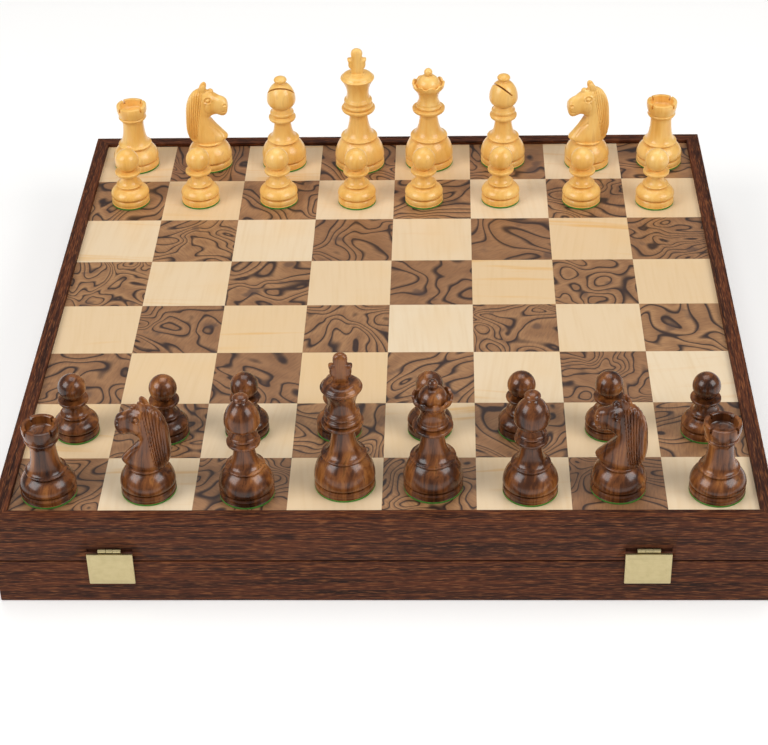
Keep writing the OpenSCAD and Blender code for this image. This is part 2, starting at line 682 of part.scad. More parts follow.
module rook() {
    neck_z = rook_skirt[1] + rook_stem_h;
    crown_z = neck_z + rook_flare_h;
    top_z = crown_z + rook_crown_h;
    cup_r = rook_crown_r - rook_wall;
    difference() {
        turned(rook_foot_r, concat(
            foot_outline(rook_foot_r, rook_skirt),
            stem_outline(rook_skirt, rook_stem_h, rook_neck_r),
            arc([rook_crown_low_r, neck_z],
                [rook_crown_low_r - rook_neck_r, rook_flare_h - 1.6], 175, 90, 4),
            bead_outline(rook_crown_low_r + 0.3, crown_z - 1.5, 1.5),
            [[rook_crown_low_r, crown_z + 0.3], [rook_crown_r, crown_z + 4], [rook_crown_r, top_z - 0.4],
             [rook_crown_r - 0.4, top_z], [cup_r, top_z]],
            arc([0, top_z - rook_cup_d], [cup_r, 2], 0, -90, 4)));
        for (turn = [45, 135])
            translate([0, 0, top_z - rook_notch_d]) rotate([0, 0, turn])
                translate([-20, -rook_notch_w / 2, 0]) cube([40, rook_notch_w, 10]);
    }
}

// Side outline of the horse, facing +X, on a foot of height 0
horse_side = [
    [11, 0], [13, 3.5], [1.6, 17.7], [3.4, 19.6], [6.4, 20.9], [8.6, 20], [11.4, 19.3], [13.6, 21.6],
    [14.3, 27], [13.9, 30.6], [11.7, 32.5], [7.3, 34.2], [4.9, 37.7], [3.2, 38], [0.6, 37.5], [-0.2, 38.7],
    [-1, 43.2], [-3.4, 41.6], [-5.3, 39.6], [-9.9, 35.1], [-12.8, 30], [-13.8, 23.5], [-14.4, 10.6],
    [-12.7, 1.6], [-10.8, 0]];

module knight() {
    chest_z = 10;
    jaw_z = 24;
    ear_z = 46;
    turned(knight_foot_r, concat(
        foot_outline(knight_foot_r, [knight_disc_r, knight_foot_h]),
        [[knight_disc_r, knight_foot_h - skirt_t], [knight_disc_r, knight_foot_h], [0, knight_foot_h]]));
    translate([0, 0, knight_foot_h - eps]) intersection() {
        translate([0, 15, 0]) rotate([90, 0, 0]) linear_extrude(30) polygon(horse_side);
        translate([-20, 0, 0]) rotate([90, 0, 90]) linear_extrude(40) polygon([
            [-knight_chest_t / 2 + 1, 0], [knight_chest_t / 2 - 1, 0], [knight_chest_t / 2, chest_z],
            [knight_head_t / 2 + 1, jaw_z], [knight_head_t / 2, ear_z], [-knight_head_t / 2, ear_z],
            [-knight_head_t / 2 - 1, jaw_z], [-knight_chest_t / 2, chest_z]]);
    }
}

module pawn() {
    neck_z = pawn_skirt[1] + pawn_stem_h;
    collar_z = upper_z(pawn_skirt, pawn_stem_h, pawn_cup_h) + 1;
    head_z = collar_z + pawn_head_r * 0.94;
    turned(pawn_foot_r, concat(
        foot_outline(pawn_foot_r, pawn_skirt),
        stem_outline(pawn_skirt, pawn_stem_h, pawn_neck_r),
        cup_outline(pawn_neck_r, neck_z, pawn_cup_h, pawn_collar_r),
        arc([0, head_z], [pawn_head_r, pawn_head_r], -55, 90, 10)));
}

// Stands a man on its square, off the middle by shift
module stand(army, file, rank, shift) color(wood[army])
    translate([file_x(file) + shift[0], rank_y(army, rank) + shift[1], board_z]) children();

module back_man(army, file) {
    shift = (army == 0 ? dark_back_shift : light_back_shift)[file];
    turn = (army == 0 ? dark_turn : light_turn)[file];
    kind = back_rank[file];
    stand(army, file, 0, shift) rotate([0, 0, turn]) {
        if (kind == "rook") rook();
        if (kind == "knight") knight();
        if (kind == "bishop") bishop();
        if (kind == "king") king();
        if (kind == "queen") queen();
    }
}

module front_man(army, file) {
    shift = (army == 0 ? dark_pawn_shift : light_pawn_shift)[file];
    stand(army, file, 1, shift) pawn();
}

// ---- One line for each node -----------------------------------------------------------------

for (side = [0:3]) {
    part = ["front", "right", "back", "left"][side];
    base_wall(side);
    lid_wall(side);
}
base_floor();
base_lining();
lid_panel();
lid_lining();
light_squares();
dark_squares();
base_screws();
lid_screws();

for (i = [0, 1]) {
    side = i == 0 ? -1 : 1;
    hinge_base_leaf(side);
    hinge_lid_leaf(side);
    hinge_pin(side);
    clasp_leaf(side);
    clasp_flap(side);
    clasp_catch(side);
}

for (army = [0, 1], file = [0:files - 1]) {
    back_man(army, file);
    front_man(army, file);
}
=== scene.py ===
# A chess set on its hinged board case: wood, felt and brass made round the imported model.
import json
import math

import bpy
import numpy as np
from mathutils import Matrix, Vector


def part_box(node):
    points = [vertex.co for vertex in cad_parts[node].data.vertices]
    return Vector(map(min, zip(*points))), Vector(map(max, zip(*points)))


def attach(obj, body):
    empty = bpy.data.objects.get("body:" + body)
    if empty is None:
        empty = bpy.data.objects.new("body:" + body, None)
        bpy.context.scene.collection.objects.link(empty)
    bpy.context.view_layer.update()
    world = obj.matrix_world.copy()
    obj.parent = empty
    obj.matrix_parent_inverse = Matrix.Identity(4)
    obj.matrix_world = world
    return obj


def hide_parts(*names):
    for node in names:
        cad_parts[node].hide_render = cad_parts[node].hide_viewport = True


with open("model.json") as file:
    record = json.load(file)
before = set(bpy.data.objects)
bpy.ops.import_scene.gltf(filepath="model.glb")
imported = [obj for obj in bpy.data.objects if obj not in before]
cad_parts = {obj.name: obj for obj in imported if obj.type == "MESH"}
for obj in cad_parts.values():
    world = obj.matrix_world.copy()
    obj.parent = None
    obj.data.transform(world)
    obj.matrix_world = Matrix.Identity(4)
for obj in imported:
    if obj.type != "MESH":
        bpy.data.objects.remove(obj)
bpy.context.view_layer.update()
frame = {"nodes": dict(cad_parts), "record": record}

mm = 0.001
nodes = frame["nodes"]
bodyOf = {name: body for body, names in frame["record"]["behaviour"]["bodies"].items() for name in names}
squareSide = 50 * mm
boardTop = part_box("dark_squares")[1].z
armies = ("dark", "light")
backRank = ("rook", "knight", "bishop", "king", "queen", "bishop", "knight", "rook")


# Shapes as arrays, in millimetres in a piece's own frame.

def arc(centre, radii, start, end, count=10):
    # centre + radii * (cos a, sin a), with the angle a going evenly from start to end in degrees
    a = np.radians(np.linspace(start, end, count))
    return np.column_stack([centre[0] + radii[0] * np.cos(a), centre[1] + radii[1] * np.sin(a)])


def outline(*stretches):
    # the stretches one after the other, each a list of points or an arc
    return np.vstack([np.atleast_2d(np.array(s, float)) for s in stretches])


def smoothStep(low, high, x):
    # 3t^2 - 2t^3 of t = (x - low) / (high - low), held between 0 and 1
    t = np.clip((x - low) / (high - low), 0, 1)
    return t * t * (3 - 2 * t)


def gridFaces(rows, steps, closedRows=False):
    # quads between neighbouring rings of a grid whose rings close on themselves
    i, j = np.meshgrid(np.arange(rows - (not closedRows)), np.arange(steps), indexing="ij")
    n, k = (i + 1) % rows, (j + 1) % steps
    return np.stack([i * steps + j, i * steps + k, n * steps + k, n * steps + j], -1).reshape(-1, 4)


def fanFaces(pole, first, steps):
    # triangles from a pole to the ring that starts at point `first`
    j = np.arange(steps)
    return np.stack([np.full(steps, pole), first + j, first + (j + 1) % steps], -1)


def closedRings(rings, lowPole, highPole):
    # rings[i, j] is a grid of points; each ring closes on itself, and a pole closes each end
    rows, steps = rings.shape[:2]
    points = np.vstack([rings.reshape(-1, 3), [lowPole], [highPole]])
    low = fanFaces(rows * steps, 0, steps)[:, ::-1]
    return points, [gridFaces(rows, steps), low, fanFaces(rows * steps + 1, (rows - 1) * steps, steps)]


def turnedShape(profile, steps=88, edge=None):
    # P(i, j) = (r_i cos a_j, r_i sin a_j, z_i) for the profile's points (r_i, z_i);
    # edge(r, z, a) may lower z, as a crown's points do. The profile starts and ends on the axis.
    r, z = profile[1:-1].T
    a = np.arange(steps) * 2 * np.pi / steps
    r, z, a = r[:, None] + 0 * a, z[:, None] + 0 * a, a + 0 * r[:, None]
    z = z if edge is None else edge(r, z, a)
    rings = np.stack([r * np.cos(a), r * np.sin(a), z], -1)
    return closedRings(rings, [0, 0, profile[0, 1]], [0, 0, profile[-1, 1]])


# Meshes and pieces.

def newMesh(name, points, faceArrays, sharpAngle=38):
    # a smooth mesh whose edges stay sharp where its faces meet at more than sharpAngle
    mesh = bpy.data.meshes.new(name)
    mesh.from_pydata(points.tolist(), [], sum((faces.tolist() for faces in faceArrays), []))
    mesh.shade_smooth()
    mesh.set_sharp_from_angle(angle=math.radians(sharpAngle))
    return mesh


def meshFrom(name, parts, sharpAngle=38):
    # joins (points, face arrays) parts, each part's faces moved up by the points before it, and turns
    # millimetres to metres
    faces, start = [], 0
    for partPoints, partFaces in parts:
        faces += [array + start for array in partFaces]
        start += len(partPoints)
    return newMesh(name, np.vstack([points for points, _ in parts]) * mm, faces, sharpAngle)


def addObject(name, mesh):
    piece = bpy.data.objects.new(name, mesh)
    bpy.context.scene.collection.objects.link(piece)
    return piece


def applied(piece):
    # the piece's mesh with its modifiers worked in
    bpy.context.view_layer.update()
    mesh = bpy.data.meshes.new_from_object(piece.evaluated_get(bpy.context.evaluated_depsgraph_get()))
    piece.modifiers.clear()
    piece.data = mesh
    return mesh


def carve(piece, *cutters):
    # takes the cutters' solids out of the piece and removes them
    for cutter in cutters:
        cut = piece.modifiers.new("cut", "BOOLEAN")
        cut.operation = "DIFFERENCE"
        cut.solver = "EXACT"
        cut.object = cutter
    applied(piece)
    for cutter in cutters:
        bpy.data.objects.remove(cutter)


boxFaces = np.array([[0, 1, 3, 2], [4, 6, 7, 5], [0, 4, 5, 1], [2, 3, 7, 6], [0, 2, 6, 4], [1, 5, 7, 3]])


def boxShape(low, high):
    # P = low + corner * (high - low) for the eight corners (0 or 1, 0 or 1, 0 or 1)
    corner = np.stack(np.meshgrid([0, 1], [0, 1], [0, 1], indexing="ij"), -1).reshape(-1, 3)
    return np.array(low) + corner * (np.array(high) - np.array(low)), [boxFaces]


def boxCutter(low, high, turn=None):
    # a box between two corners in millimetres, then turned by a matrix
    mesh = meshFrom("cutter", [boxShape(low, high)])
    if turn is not None:
        mesh.transform(turn)
    return addObject("cutter", mesh)


def finishPiece(piece, body, slotName, material, *replaced):
    piece.data.materials.clear()
    piece.data.materials.append(material)
    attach(piece, body)
    if replaced:
        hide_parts(*replaced)
    return piece


# Nodes and materials.

def linearColour(code):
    # each sRGB channel c becomes c / 12.92 up to 0.04045, and ((c + 0.055) / 1.055)^2.4 above it
    c = np.array([int(code[i:i + 2], 16) for i in (1, 3, 5)]) / 255
    return (*np.where(c <= 0.04045, c / 12.92, ((c + 0.055) / 1.055) ** 2.4).tolist(), 1.0)


def addNode(tree, kind, inputs, out=0, stops=(), **settings):
    # adds a node with its settings and gives its output `out`; an input takes a value, a "#rrggbb" colour
    # or another node's output
    made = tree.nodes.new("ShaderNode" + kind)
    for name, value in settings.items():
        setattr(made, name, value)
    for key, value in inputs.items():
        if isinstance(value, bpy.types.NodeSocket):
            tree.links.new(value, made.inputs[key])
        else:
            made.inputs[key].default_value = linearColour(value) if isinstance(value, str) else value
    for place, code in stops:
        ends = made.color_ramp.elements
        stop = ends[0] if place == stops[0][0] else ends[-1] if place == stops[-1][0] else ends.new(place)
        stop.position = place
        stop.color = linearColour(code)
    return made.outputs[out]


def newMaterial(name, **surface):
    # a Principled material whose unlinked sockets take the values given, such as coat_weight=0.3
    material = bpy.data.materials.new(name)
    material.use_nodes = True
    shader = material.node_tree.nodes["Principled BSDF"]
    for key, value in surface.items():
        title = key.replace("_", " ").title().replace("Ior", "IOR")
        shader.inputs[title].default_value = linearColour(value) if isinstance(value, str) else value
    return material, material.node_tree, shader


def shadeWith(tree, shader, colour, height, distance, strength):
    # links the colour, and a bump from the height
    bump = addNode(tree, "Bump", {"Strength": strength, "Distance": distance, "Height": height})
    tree.links.new(colour, shader.inputs["Base Color"])
    tree.links.new(bump, shader.inputs["Normal"])


def stretched(tree, coordinates, scale, turn=0.0):
    # coordinates turned about Z by `turn` and multiplied by scale, one number for each axis
    turned = addNode(tree, "VectorRotate", {"Vector": coordinates, "Angle": turn}, rotation_type="Z_AXIS")
    return addNode(tree, "VectorMath", {0: turned, 1: scale}, operation="MULTIPLY")


def squareNumbers(tree, place):
    # a random value and three more for each square of the board
    cell = addNode(tree, "VectorMath", {0: place, 1: (1 / squareSide, 1 / squareSide, 0)},
                   operation="MULTIPLY")
    floor = addNode(tree, "VectorMath", {0: cell}, operation="FLOOR")
    value = addNode(tree, "TexWhiteNoise", {"Vector": floor}, "Value", noise_dimensions="3D")
    colour = addNode(tree, "TexWhiteNoise", {"Vector": floor}, "Color", noise_dimensions="3D")
    return [value] + [addNode(tree, "SeparateColor", {0: colour}, channel) for channel in range(3)]


smooth = {"interpolation_type": "SMOOTHSTEP"}
colours = {"data_type": "RGBA"}

burrLooks = {"ground": "#ab7f55", "other": "#946a47", "warm": "#7d5536", "fibre": "#5c3c2c",
             "line": "#33201a", "knot": "#46342f",
             "swirl": 21.0, "linesPerSwirl": 15.0, "lineWidth": 0.15, "grain": 900.0}


def burrVeneer():
    # walnut burr veneer, sliced and lacquered: mid brown with thin dark lines that wander and close
    # on themselves like contours, and blue-grey knots, different in each square
    look = burrLooks
    material, tree, shader = newMaterial("lacquered walnut burr veneer", roughness=0.42, ior=1.48,
                                         coat_weight=0.12, coat_roughness=0.3)
    place = addNode(tree, "TexCoord", {}, "Object")
    dice, turn, size, tone = squareNumbers(tree, place)
    angle = addNode(tree, "Math", {0: turn, 1: math.tau}, operation="MULTIPLY")
    other = addNode(tree, "Math", {0: dice, 1: 41.0}, operation="MULTIPLY")
    flow = stretched(tree, place, (look["swirl"], look["swirl"] * 1.35, look["swirl"]), angle)
    grown = addNode(tree, "Math", {0: size, 1: 0.5, 2: 0.75}, operation="MULTIPLY_ADD")
    flow = addNode(tree, "VectorMath", {0: flow, "Scale": grown}, operation="SCALE")
    hills = addNode(tree, "TexNoise",
                    {"Vector": flow, "W": other, "Scale": 1.0, "Detail": 1.3, "Roughness": 0.4,
                                       "Distortion": 0.9}, noise_dimensions="4D")
    levels = addNode(tree, "Math", {0: hills, 1: look["linesPerSwirl"]}, operation="MULTIPLY")
    step = addNode(tree, "Math", {0: levels}, operation="FRACT")
    width = look["lineWidth"]
    rising = addNode(tree, "MapRange", {0: step, 1: 0.0, 2: width * 0.5, 3: 0.45, 4: 1.0}, **smooth)
    falling = addNode(tree, "MapRange", {0: step, 1: width * 0.7, 2: width * 2.6, 3: 1.0, 4: 0.0}, **smooth)
    line = addNode(tree, "Math", {0: rising, 1: falling}, operation="MULTIPLY")
    shade = addNode(tree, "MapRange", {0: step, 1: 0.4, 2: 1.0, 3: 0.0, 4: 0.55}, **smooth)
    grain = addNode(tree, "TexNoise", {"Vector": stretched(tree, place, (look["grain"], 160.0, 300.0), angle),
                                       "Scale": 1.0, "Detail": 2.0})
    grainShare = addNode(tree, "MapRange", {0: grain, 1: 0.35, 2: 0.75, 3: 0.0, 4: 0.35}, **smooth)
    knots = addNode(tree, "TexNoise",
                    {"Vector": stretched(tree, place, (75.0, 75.0, 75.0), angle), "W": other,
                                       "Scale": 1.0, "Detail": 1.0}, noise_dimensions="4D")
    knotShare = addNode(tree, "MapRange", {0: knots, 1: 0.63, 2: 0.75, 3: 0.0, 4: 0.6}, **smooth)
    ground = look["ground"]
    for share, over in ((tone, "other"), (shade, "warm"), (grainShare, "fibre"), (line, "line"),
                        (knotShare, "knot")):
        ground = addNode(tree, "Mix", {0: share, 6: ground, 7: look[over]}, 2, **colours)
    shadeWith(tree, shader, ground, grain, 0.00003, 0.35)
    return material


mapleLooks = {"pale": "#e3ceae", "creamy": "#dcbd92", "line": "#d0ae7c", "cloud": "#dfb981",
              "honey": "#d9a861", "streak": (11.0, 150.0, 20.0), "fine": (420.0, 26.0, 60.0)}


def mapleVeneer():
    # maple veneer, sliced and lacquered: cream wood with faint lines, and here and there a honey streak
    look = mapleLooks
    material, tree, shader = newMaterial("lacquered maple veneer", roughness=0.42, ior=1.48,
                                         coat_weight=0.12, coat_roughness=0.3)
    place = addNode(tree, "TexCoord", {}, "Object")
    dice, lean, tone, streaky = squareNumbers(tree, place)
    angle = addNode(tree, "MapRange", {0: lean, 3: -0.16, 4: 0.16})
    other = addNode(tree, "Math", {0: dice, 1: 57.0}, operation="MULTIPLY")
    streak = addNode(tree, "TexNoise", {"Vector": stretched(tree, place, look["streak"], angle), "W": other,
                                        "Scale": 1.0, "Detail": 2.5, "Distortion": 0.35},
                                        noise_dimensions="4D")
    fine = addNode(tree, "TexNoise", {"Vector": stretched(tree, place, look["fine"], angle), "W": other,
                                      "Scale": 1.0, "Detail": 3.0}, noise_dimensions="4D")
    cloud = addNode(tree, "TexNoise",
                    {"Vector": stretched(tree, place, (30.0, 30.0, 30.0), angle), "W": other,
                                       "Scale": 1.0, "Detail": 1.0}, noise_dimensions="4D")
    fineShare = addNode(tree, "MapRange", {0: fine, 1: 0.4, 2: 0.8, 3: 0.0, 4: 0.3}, **smooth)
    cloudShare = addNode(tree, "MapRange", {0: cloud, 1: 0.45, 2: 0.8, 3: 0.0, 4: 0.35}, **smooth)
    streakShare = addNode(tree, "MapRange", {0: streak, 1: 0.55, 2: 0.72}, **smooth)
    often = addNode(tree, "MapRange", {0: streaky, 1: 0.3, 2: 1.0, 3: 0.05, 4: 0.75}, **smooth)
    honeyShare = addNode(tree, "Math", {0: streakShare, 1: often}, operation="MULTIPLY")
    ground = look["pale"]
    for share, over in ((tone, "creamy"), (fineShare, "line"), (cloudShare, "cloud"), (honeyShare, "honey")):
        ground = addNode(tree, "Mix", {0: share, 6: ground, 7: look[over]}, 2, **colours)
    shadeWith(tree, shader, ground, fine, 0.00002, 0.3)
    return material


wengeLooks = {"deep": "#23110b", "brown": "#442316", "ruddy": "#60321c", "fleck": "#8a5430",
              "pore": "#170a07", "bands": (10.0, 380.0, 380.0), "flecks": (110.0, 1500.0, 1500.0),
              "pores": (120.0, 2300.0, 2300.0)}


def wengeRail():
    # wenge, planed and oiled: very dark brown with short ruddy flecks along the grain and open pores
    look = wengeLooks
    material, tree, shader = newMaterial("oiled wenge rail", roughness=0.55, ior=1.4, specular_ior_level=0.22)
    place = addNode(tree, "TexCoord", {}, "UV")
    bands = addNode(tree, "TexNoise",
                    {"Vector": stretched(tree, place, look["bands"]), "Scale": 1.0, "Detail": 3.0,
                                       "Roughness": 0.55, "Distortion": 0.25})
    flecks = addNode(tree, "TexNoise", {"Vector": stretched(tree, place, look["flecks"]), "Scale": 1.0,
                                        "Detail": 2.0, "Roughness": 0.6})
    pores = addNode(tree, "TexNoise", {"Vector": stretched(tree, place, look["pores"]), "Scale": 1.0,
                                       "Detail": 1.0})
    colour = addNode(tree, "ValToRGB", {0: bands}, stops=[(0.3, look["deep"]), (0.47, look["brown"]),
                                                          (0.6, look["ruddy"]), (0.75, look["brown"])])
    lighter = addNode(tree, "MapRange", {0: flecks, 1: 0.5, 2: 0.7, 3: 0.0, 4: 0.8}, **smooth)
    darker = addNode(tree, "MapRange", {0: flecks, 1: 0.3, 2: 0.5, 3: 0.7, 4: 0.0}, **smooth)
    poreShare = addNode(tree, "MapRange", {0: pores, 1: 0.6, 2: 0.72, 3: 0.0, 4: 0.8}, **smooth)
    for share, over in ((lighter, "fleck"), (darker, "deep"), (poreShare, "pore")):
        colour = addNode(tree, "Mix", {0: share, 6: colour, 7: look[over]}, 2, **colours)
    closed = addNode(tree, "Math", {0: 1.0, 1: poreShare}, operation="SUBTRACT")
    shadeWith(tree, shader, colour, closed, 0.00012, 0.5)
    return material


turnedLooks = {
    "dark": {"name": "polished rosewood", "vein": "#2a1209", "veins": 0.65, "roughness": 0.24, "coat": 0.25,
             "stops": [(0.34, "#27120a"), (0.45, "#4e2a14"), (0.54, "#794622"), (0.68, "#b07239")]},
    "light": {"name": "polished boxwood", "vein": "#cd8c38", "veins": 0.3, "roughness": 0.3, "coat": 0.3,
              "stops": [(0.25, "#d99f44"), (0.44, "#eeb75e"), (0.6, "#f6c976"), (0.8, "#fad795")]}}


def turnedWood(army):
    # rosewood is ruddy with near-black veins, and boxwood honey coloured and almost plain; both are turned
    # with the grain upright and polished, so each bulb holds two soft highlights
    look = turnedLooks[army]
    material, tree, shader = newMaterial(look["name"], roughness=look["roughness"], ior=1.45,
                                         specular_ior_level=0.42, coat_weight=look["coat"],
                                         coat_roughness=0.15)
    place = addNode(tree, "TexCoord", {}, "Object")
    broad = addNode(tree, "TexNoise",
                    {"Vector": stretched(tree, place, (95.0, 60.0, 14.0), 0.5), "Scale": 1.0,
                                       "Detail": 2.0, "Distortion": 0.6})
    veins = addNode(tree, "TexNoise",
                    {"Vector": stretched(tree, place, (330.0, 170.0, 16.0), 0.5), "Scale": 1.0,
                                       "Detail": 3.0, "Roughness": 0.6, "Distortion": 0.5})
    pores = addNode(tree, "TexNoise", {"Vector": stretched(tree, place, (1900.0, 1900.0, 170.0), 0.5),
                                       "Scale": 1.0, "Detail": 1.0})
    half = addNode(tree, "Math", {0: broad, 1: 0.55}, operation="MULTIPLY")
    mixed = addNode(tree, "Math", {0: veins, 1: 0.45, 2: half}, operation="MULTIPLY_ADD")
    colour = addNode(tree, "ValToRGB", {0: mixed}, stops=look["stops"])
    veinShare = addNode(tree, "MapRange", {0: veins, 1: 0.58, 2: 0.7, 3: 0.0, 4: look["veins"]}, **smooth)
    poreShare = addNode(tree, "MapRange", {0: pores, 1: 0.62, 2: 0.75, 3: 0.0, 4: look["veins"] * 0.6},
                        **smooth)
    for share in (veinShare, poreShare):
        colour = addNode(tree, "Mix", {0: share, 6: colour, 7: look["vein"]}, 2, **colours)
    shadeWith(tree, shader, colour, pores, 0.00002, 0.3)
    return material


def plyPanel():
    # oiled walnut plywood, the case's floor and the panel under the squares: plain straight grain
    material, tree, shader = newMaterial("oiled walnut plywood", roughness=0.55, ior=1.48)
    place = addNode(tree, "TexCoord", {}, "Object")
    grain = addNode(tree, "TexNoise", {"Vector": stretched(tree, place, (7.0, 260.0, 60.0)), "Scale": 1.0,
                                       "Detail": 3.0, "Distortion": 0.3})
    colour = addNode(tree, "ValToRGB", {0: grain},
                     stops=[(0.3, "#452a1b"), (0.5, "#6b452c"), (0.7, "#7d5537")])
    shadeWith(tree, shader, colour, grain, 0.00005, 0.4)
    return material


def woolFelt():
    # dyed wool felt: grass green, quite dull, with matted fibres and a soft edge of light
    material, tree, shader = newMaterial("green wool felt", roughness=0.95, ior=1.4, sheen_weight=0.2,
                                         sheen_roughness=0.5, sheen_tint="#bfe08a")
    place = addNode(tree, "TexCoord", {}, "Object")
    matted = addNode(tree, "TexNoise", {"Vector": stretched(tree, place, (650.0, 650.0, 650.0)), "Scale": 1.0,
                                        "Detail": 4.0, "Roughness": 0.7, "Distortion": 1.2})
    worn = addNode(tree, "TexNoise", {"Vector": stretched(tree, place, (28.0, 28.0, 28.0)), "Scale": 1.0,
                                      "Detail": 2.0})
    colour = addNode(tree, "ValToRGB", {0: matted},
                     stops=[(0.3, "#2f6a1e"), (0.5, "#478630"), (0.75, "#649f45")])
    wornShare = addNode(tree, "MapRange", {0: worn, 1: 0.4, 2: 0.75, 3: 0.0, 4: 0.3}, **smooth)
    colour = addNode(tree, "Mix", {0: wornShare, 6: colour, 7: "#357024"}, 2, **colours)
    shadeWith(tree, shader, colour, matted, 0.0003, 0.6)
    return material


def brassFinish(name, colour, shadow, roughness):
    # brass sheet or rod, brushed and lacquered: soft gold with hair lines along X and slight clouding
    material, tree, shader = newMaterial(name, metallic=1.0, roughness=roughness, coat_weight=0.2,
                                         coat_roughness=0.2)
    place = addNode(tree, "TexCoord", {}, "Object")
    hairs = addNode(tree, "TexNoise",
                    {"Vector": stretched(tree, place, (120.0, 5000.0, 5000.0)), "Scale": 1.0,
                                       "Detail": 2.0})
    cloud = addNode(tree, "TexNoise", {"Vector": stretched(tree, place, (240.0, 240.0, 240.0)), "Scale": 1.0,
                                       "Detail": 2.0})
    cloudShare = addNode(tree, "MapRange", {0: cloud, 1: 0.35, 2: 0.8, 3: 0.0, 4: 0.3}, **smooth)
    hairShare = addNode(tree, "MapRange", {0: hairs, 1: 0.5, 2: 0.8, 3: 0.0, 4: 0.25}, **smooth)
    dull = addNode(tree, "MapRange", {0: hairs, 1: 0.2, 2: 0.8, 3: roughness * 0.8, 4: roughness * 1.25},
                   **smooth)
    mixed = colour
    for share in (cloudShare, hairShare):
        mixed = addNode(tree, "Mix", {0: share, 6: mixed, 7: shadow}, 2, **colours)
    tree.links.new(dull, shader.inputs["Roughness"])
    shadeWith(tree, shader, mixed, hairs, 0.00002, 0.25)
    return material


railWood = wengeRail()
felt = woolFelt()
brassPlate = brassFinish("brushed champagne brass", "#cabb8e", "#ad9d70", 0.45)
brassHinge = brassFinish("brushed hinge brass", "#d8bf82", "#ab8f52", 0.34)
screwMetal = brassFinish("turned brass screws", "#c9a961", "#94763a", 0.3)
menWood = {army: turnedWood(army) for army in armies}
carried = {"dark_squares": burrVeneer(), "light_squares": mapleVeneer(), "base_floor": plyPanel(),
           "base_screws": screwMetal, "lid_screws": screwMetal}
carried["lid_panel"] = carried["base_floor"]
for side in ("left", "right"):
    for fitting in ("hinge_base_leaf", "hinge_lid_leaf"):
        carried[side + "_" + fitting] = brassHinge
    for fitting in ("clasp_leaf", "clasp_catch"):
        carried[side + "_" + fitting] = brassPlate
    carried[side + "_hinge_pin"] = screwMetal
for name, material in carried.items():
    nodes[name].data.materials.clear()
    nodes[name].data.materials.append(material)
print("materials made:", len(bpy.data.materials))


# The case's rails.

railShape = {"edge": 0.9, "inner": 0.3, "seamGap": 0.5, "seamDeep": 5.0, "seamEdge": 0.2, "steps": 6,
             "mitreGap": 0.06, "lengthSteps": 24}


def railSection(inner, outer, low, high, seamAbove):
    # (across, z) points round a rail: quarter circles at its four long edges, and a shallow rebate along the
    # outer edge at the seam, which keeps a thin shadow line between base and lid
    look = railShape
    r, i, gap, deep, e, n = (look[key] for key in ("edge", "inner", "seamGap", "seamDeep", "seamEdge",
                                                   "steps"))
    face = high - gap if seamAbove else low + gap
    step = [[outer - deep, face], [outer - deep, high if seamAbove else low]]
    lowOuter = arc((outer - r, low + r), (r, r), 270, 360, n)
    highOuter = arc((outer - r, high - r), (r, r), 0, 90, n)
    if seamAbove:
        highOuter = outline(arc((outer - e, face - e), (e, e), 0, 90, 4), step)
    else:
        lowOuter = outline(step[::-1], arc((outer - e, face + e), (e, e), 270, 360, 4))
    return outline(arc((inner + i, low + i), (i, i), 180, 270, n), lowOuter, highOuter,
                   arc((inner + i, high - i), (i, i), 90, 180, n))


def railMesh(name, section, side, grainStart):
    # the section is carried from mitre to mitre: P = (t * across, -across, z) for t from -1 to 1, then
    # turned by side * 90 degrees; the grain's u is the distance along the rail and v the way round it
    t = np.linspace(-1, 1, railShape["lengthSteps"] + 1)[:, None]
    reach = section[:, 0] - railShape["mitreGap"]
    points = np.stack([t * reach, -section[:, 0] + 0 * t, section[:, 1] + 0 * t], -1)
    rows, count = points.shape[:2]
    ends = np.stack([np.arange(count), np.arange(rows * count - 1, (rows - 1) * count - 1, -1)])
    turned = np.array(Matrix.Rotation(math.radians(90 * side), 3, "Z"))
    mesh = newMesh(name, points.reshape(-1, 3) @ turned.T * mm, [gridFaces(rows, count)[:, ::-1], ends])
    around = np.concatenate([[0], np.cumsum(np.linalg.norm(np.diff(section, axis=0), axis=1))]) * mm
    corner = np.zeros(len(mesh.loops), int)
    mesh.loops.foreach_get("vertex_index", corner)
    uv = np.column_stack([points.reshape(-1, 3)[corner, 0] * mm + grainStart, around[corner % count]])
    mesh.uv_layers.new(name="grain").data.foreach_set("uv", uv.astype(np.float32).ravel())
    return mesh


rails = {}
inner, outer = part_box("base_floor")[1].x / mm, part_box("base_right_wall")[1].x / mm
for half in ("base", "lid"):
    for side, part in enumerate(("front", "right", "back", "left")):
        nodeName = f"{half}_{part}_wall"
        low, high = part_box(nodeName)
        section = railSection(inner, outer, low.z / mm, high.z / mm, half == "base")
        mesh = railMesh(nodeName + "_rail", section, side, 0.9 * side + 4.1 * (half == "lid"))
        rails[nodeName] = addObject(f"{half}_{part}_rail", mesh)


# The clasps.

claspShape = {"border": 3.0, "bevel": 0.5, "edge": 0.2, "corner": 0.5, "knuckleRadius": 1.1,
              "knuckleWidth": 3.6, "bore": 0.5, "axisOut": 0.4, "recess": 1.2, "recessGap": 0.3,
              "slotWidth": 4.8, "slotDepth": 1.01, "studUp": 7.0, "thickness": 1.8}


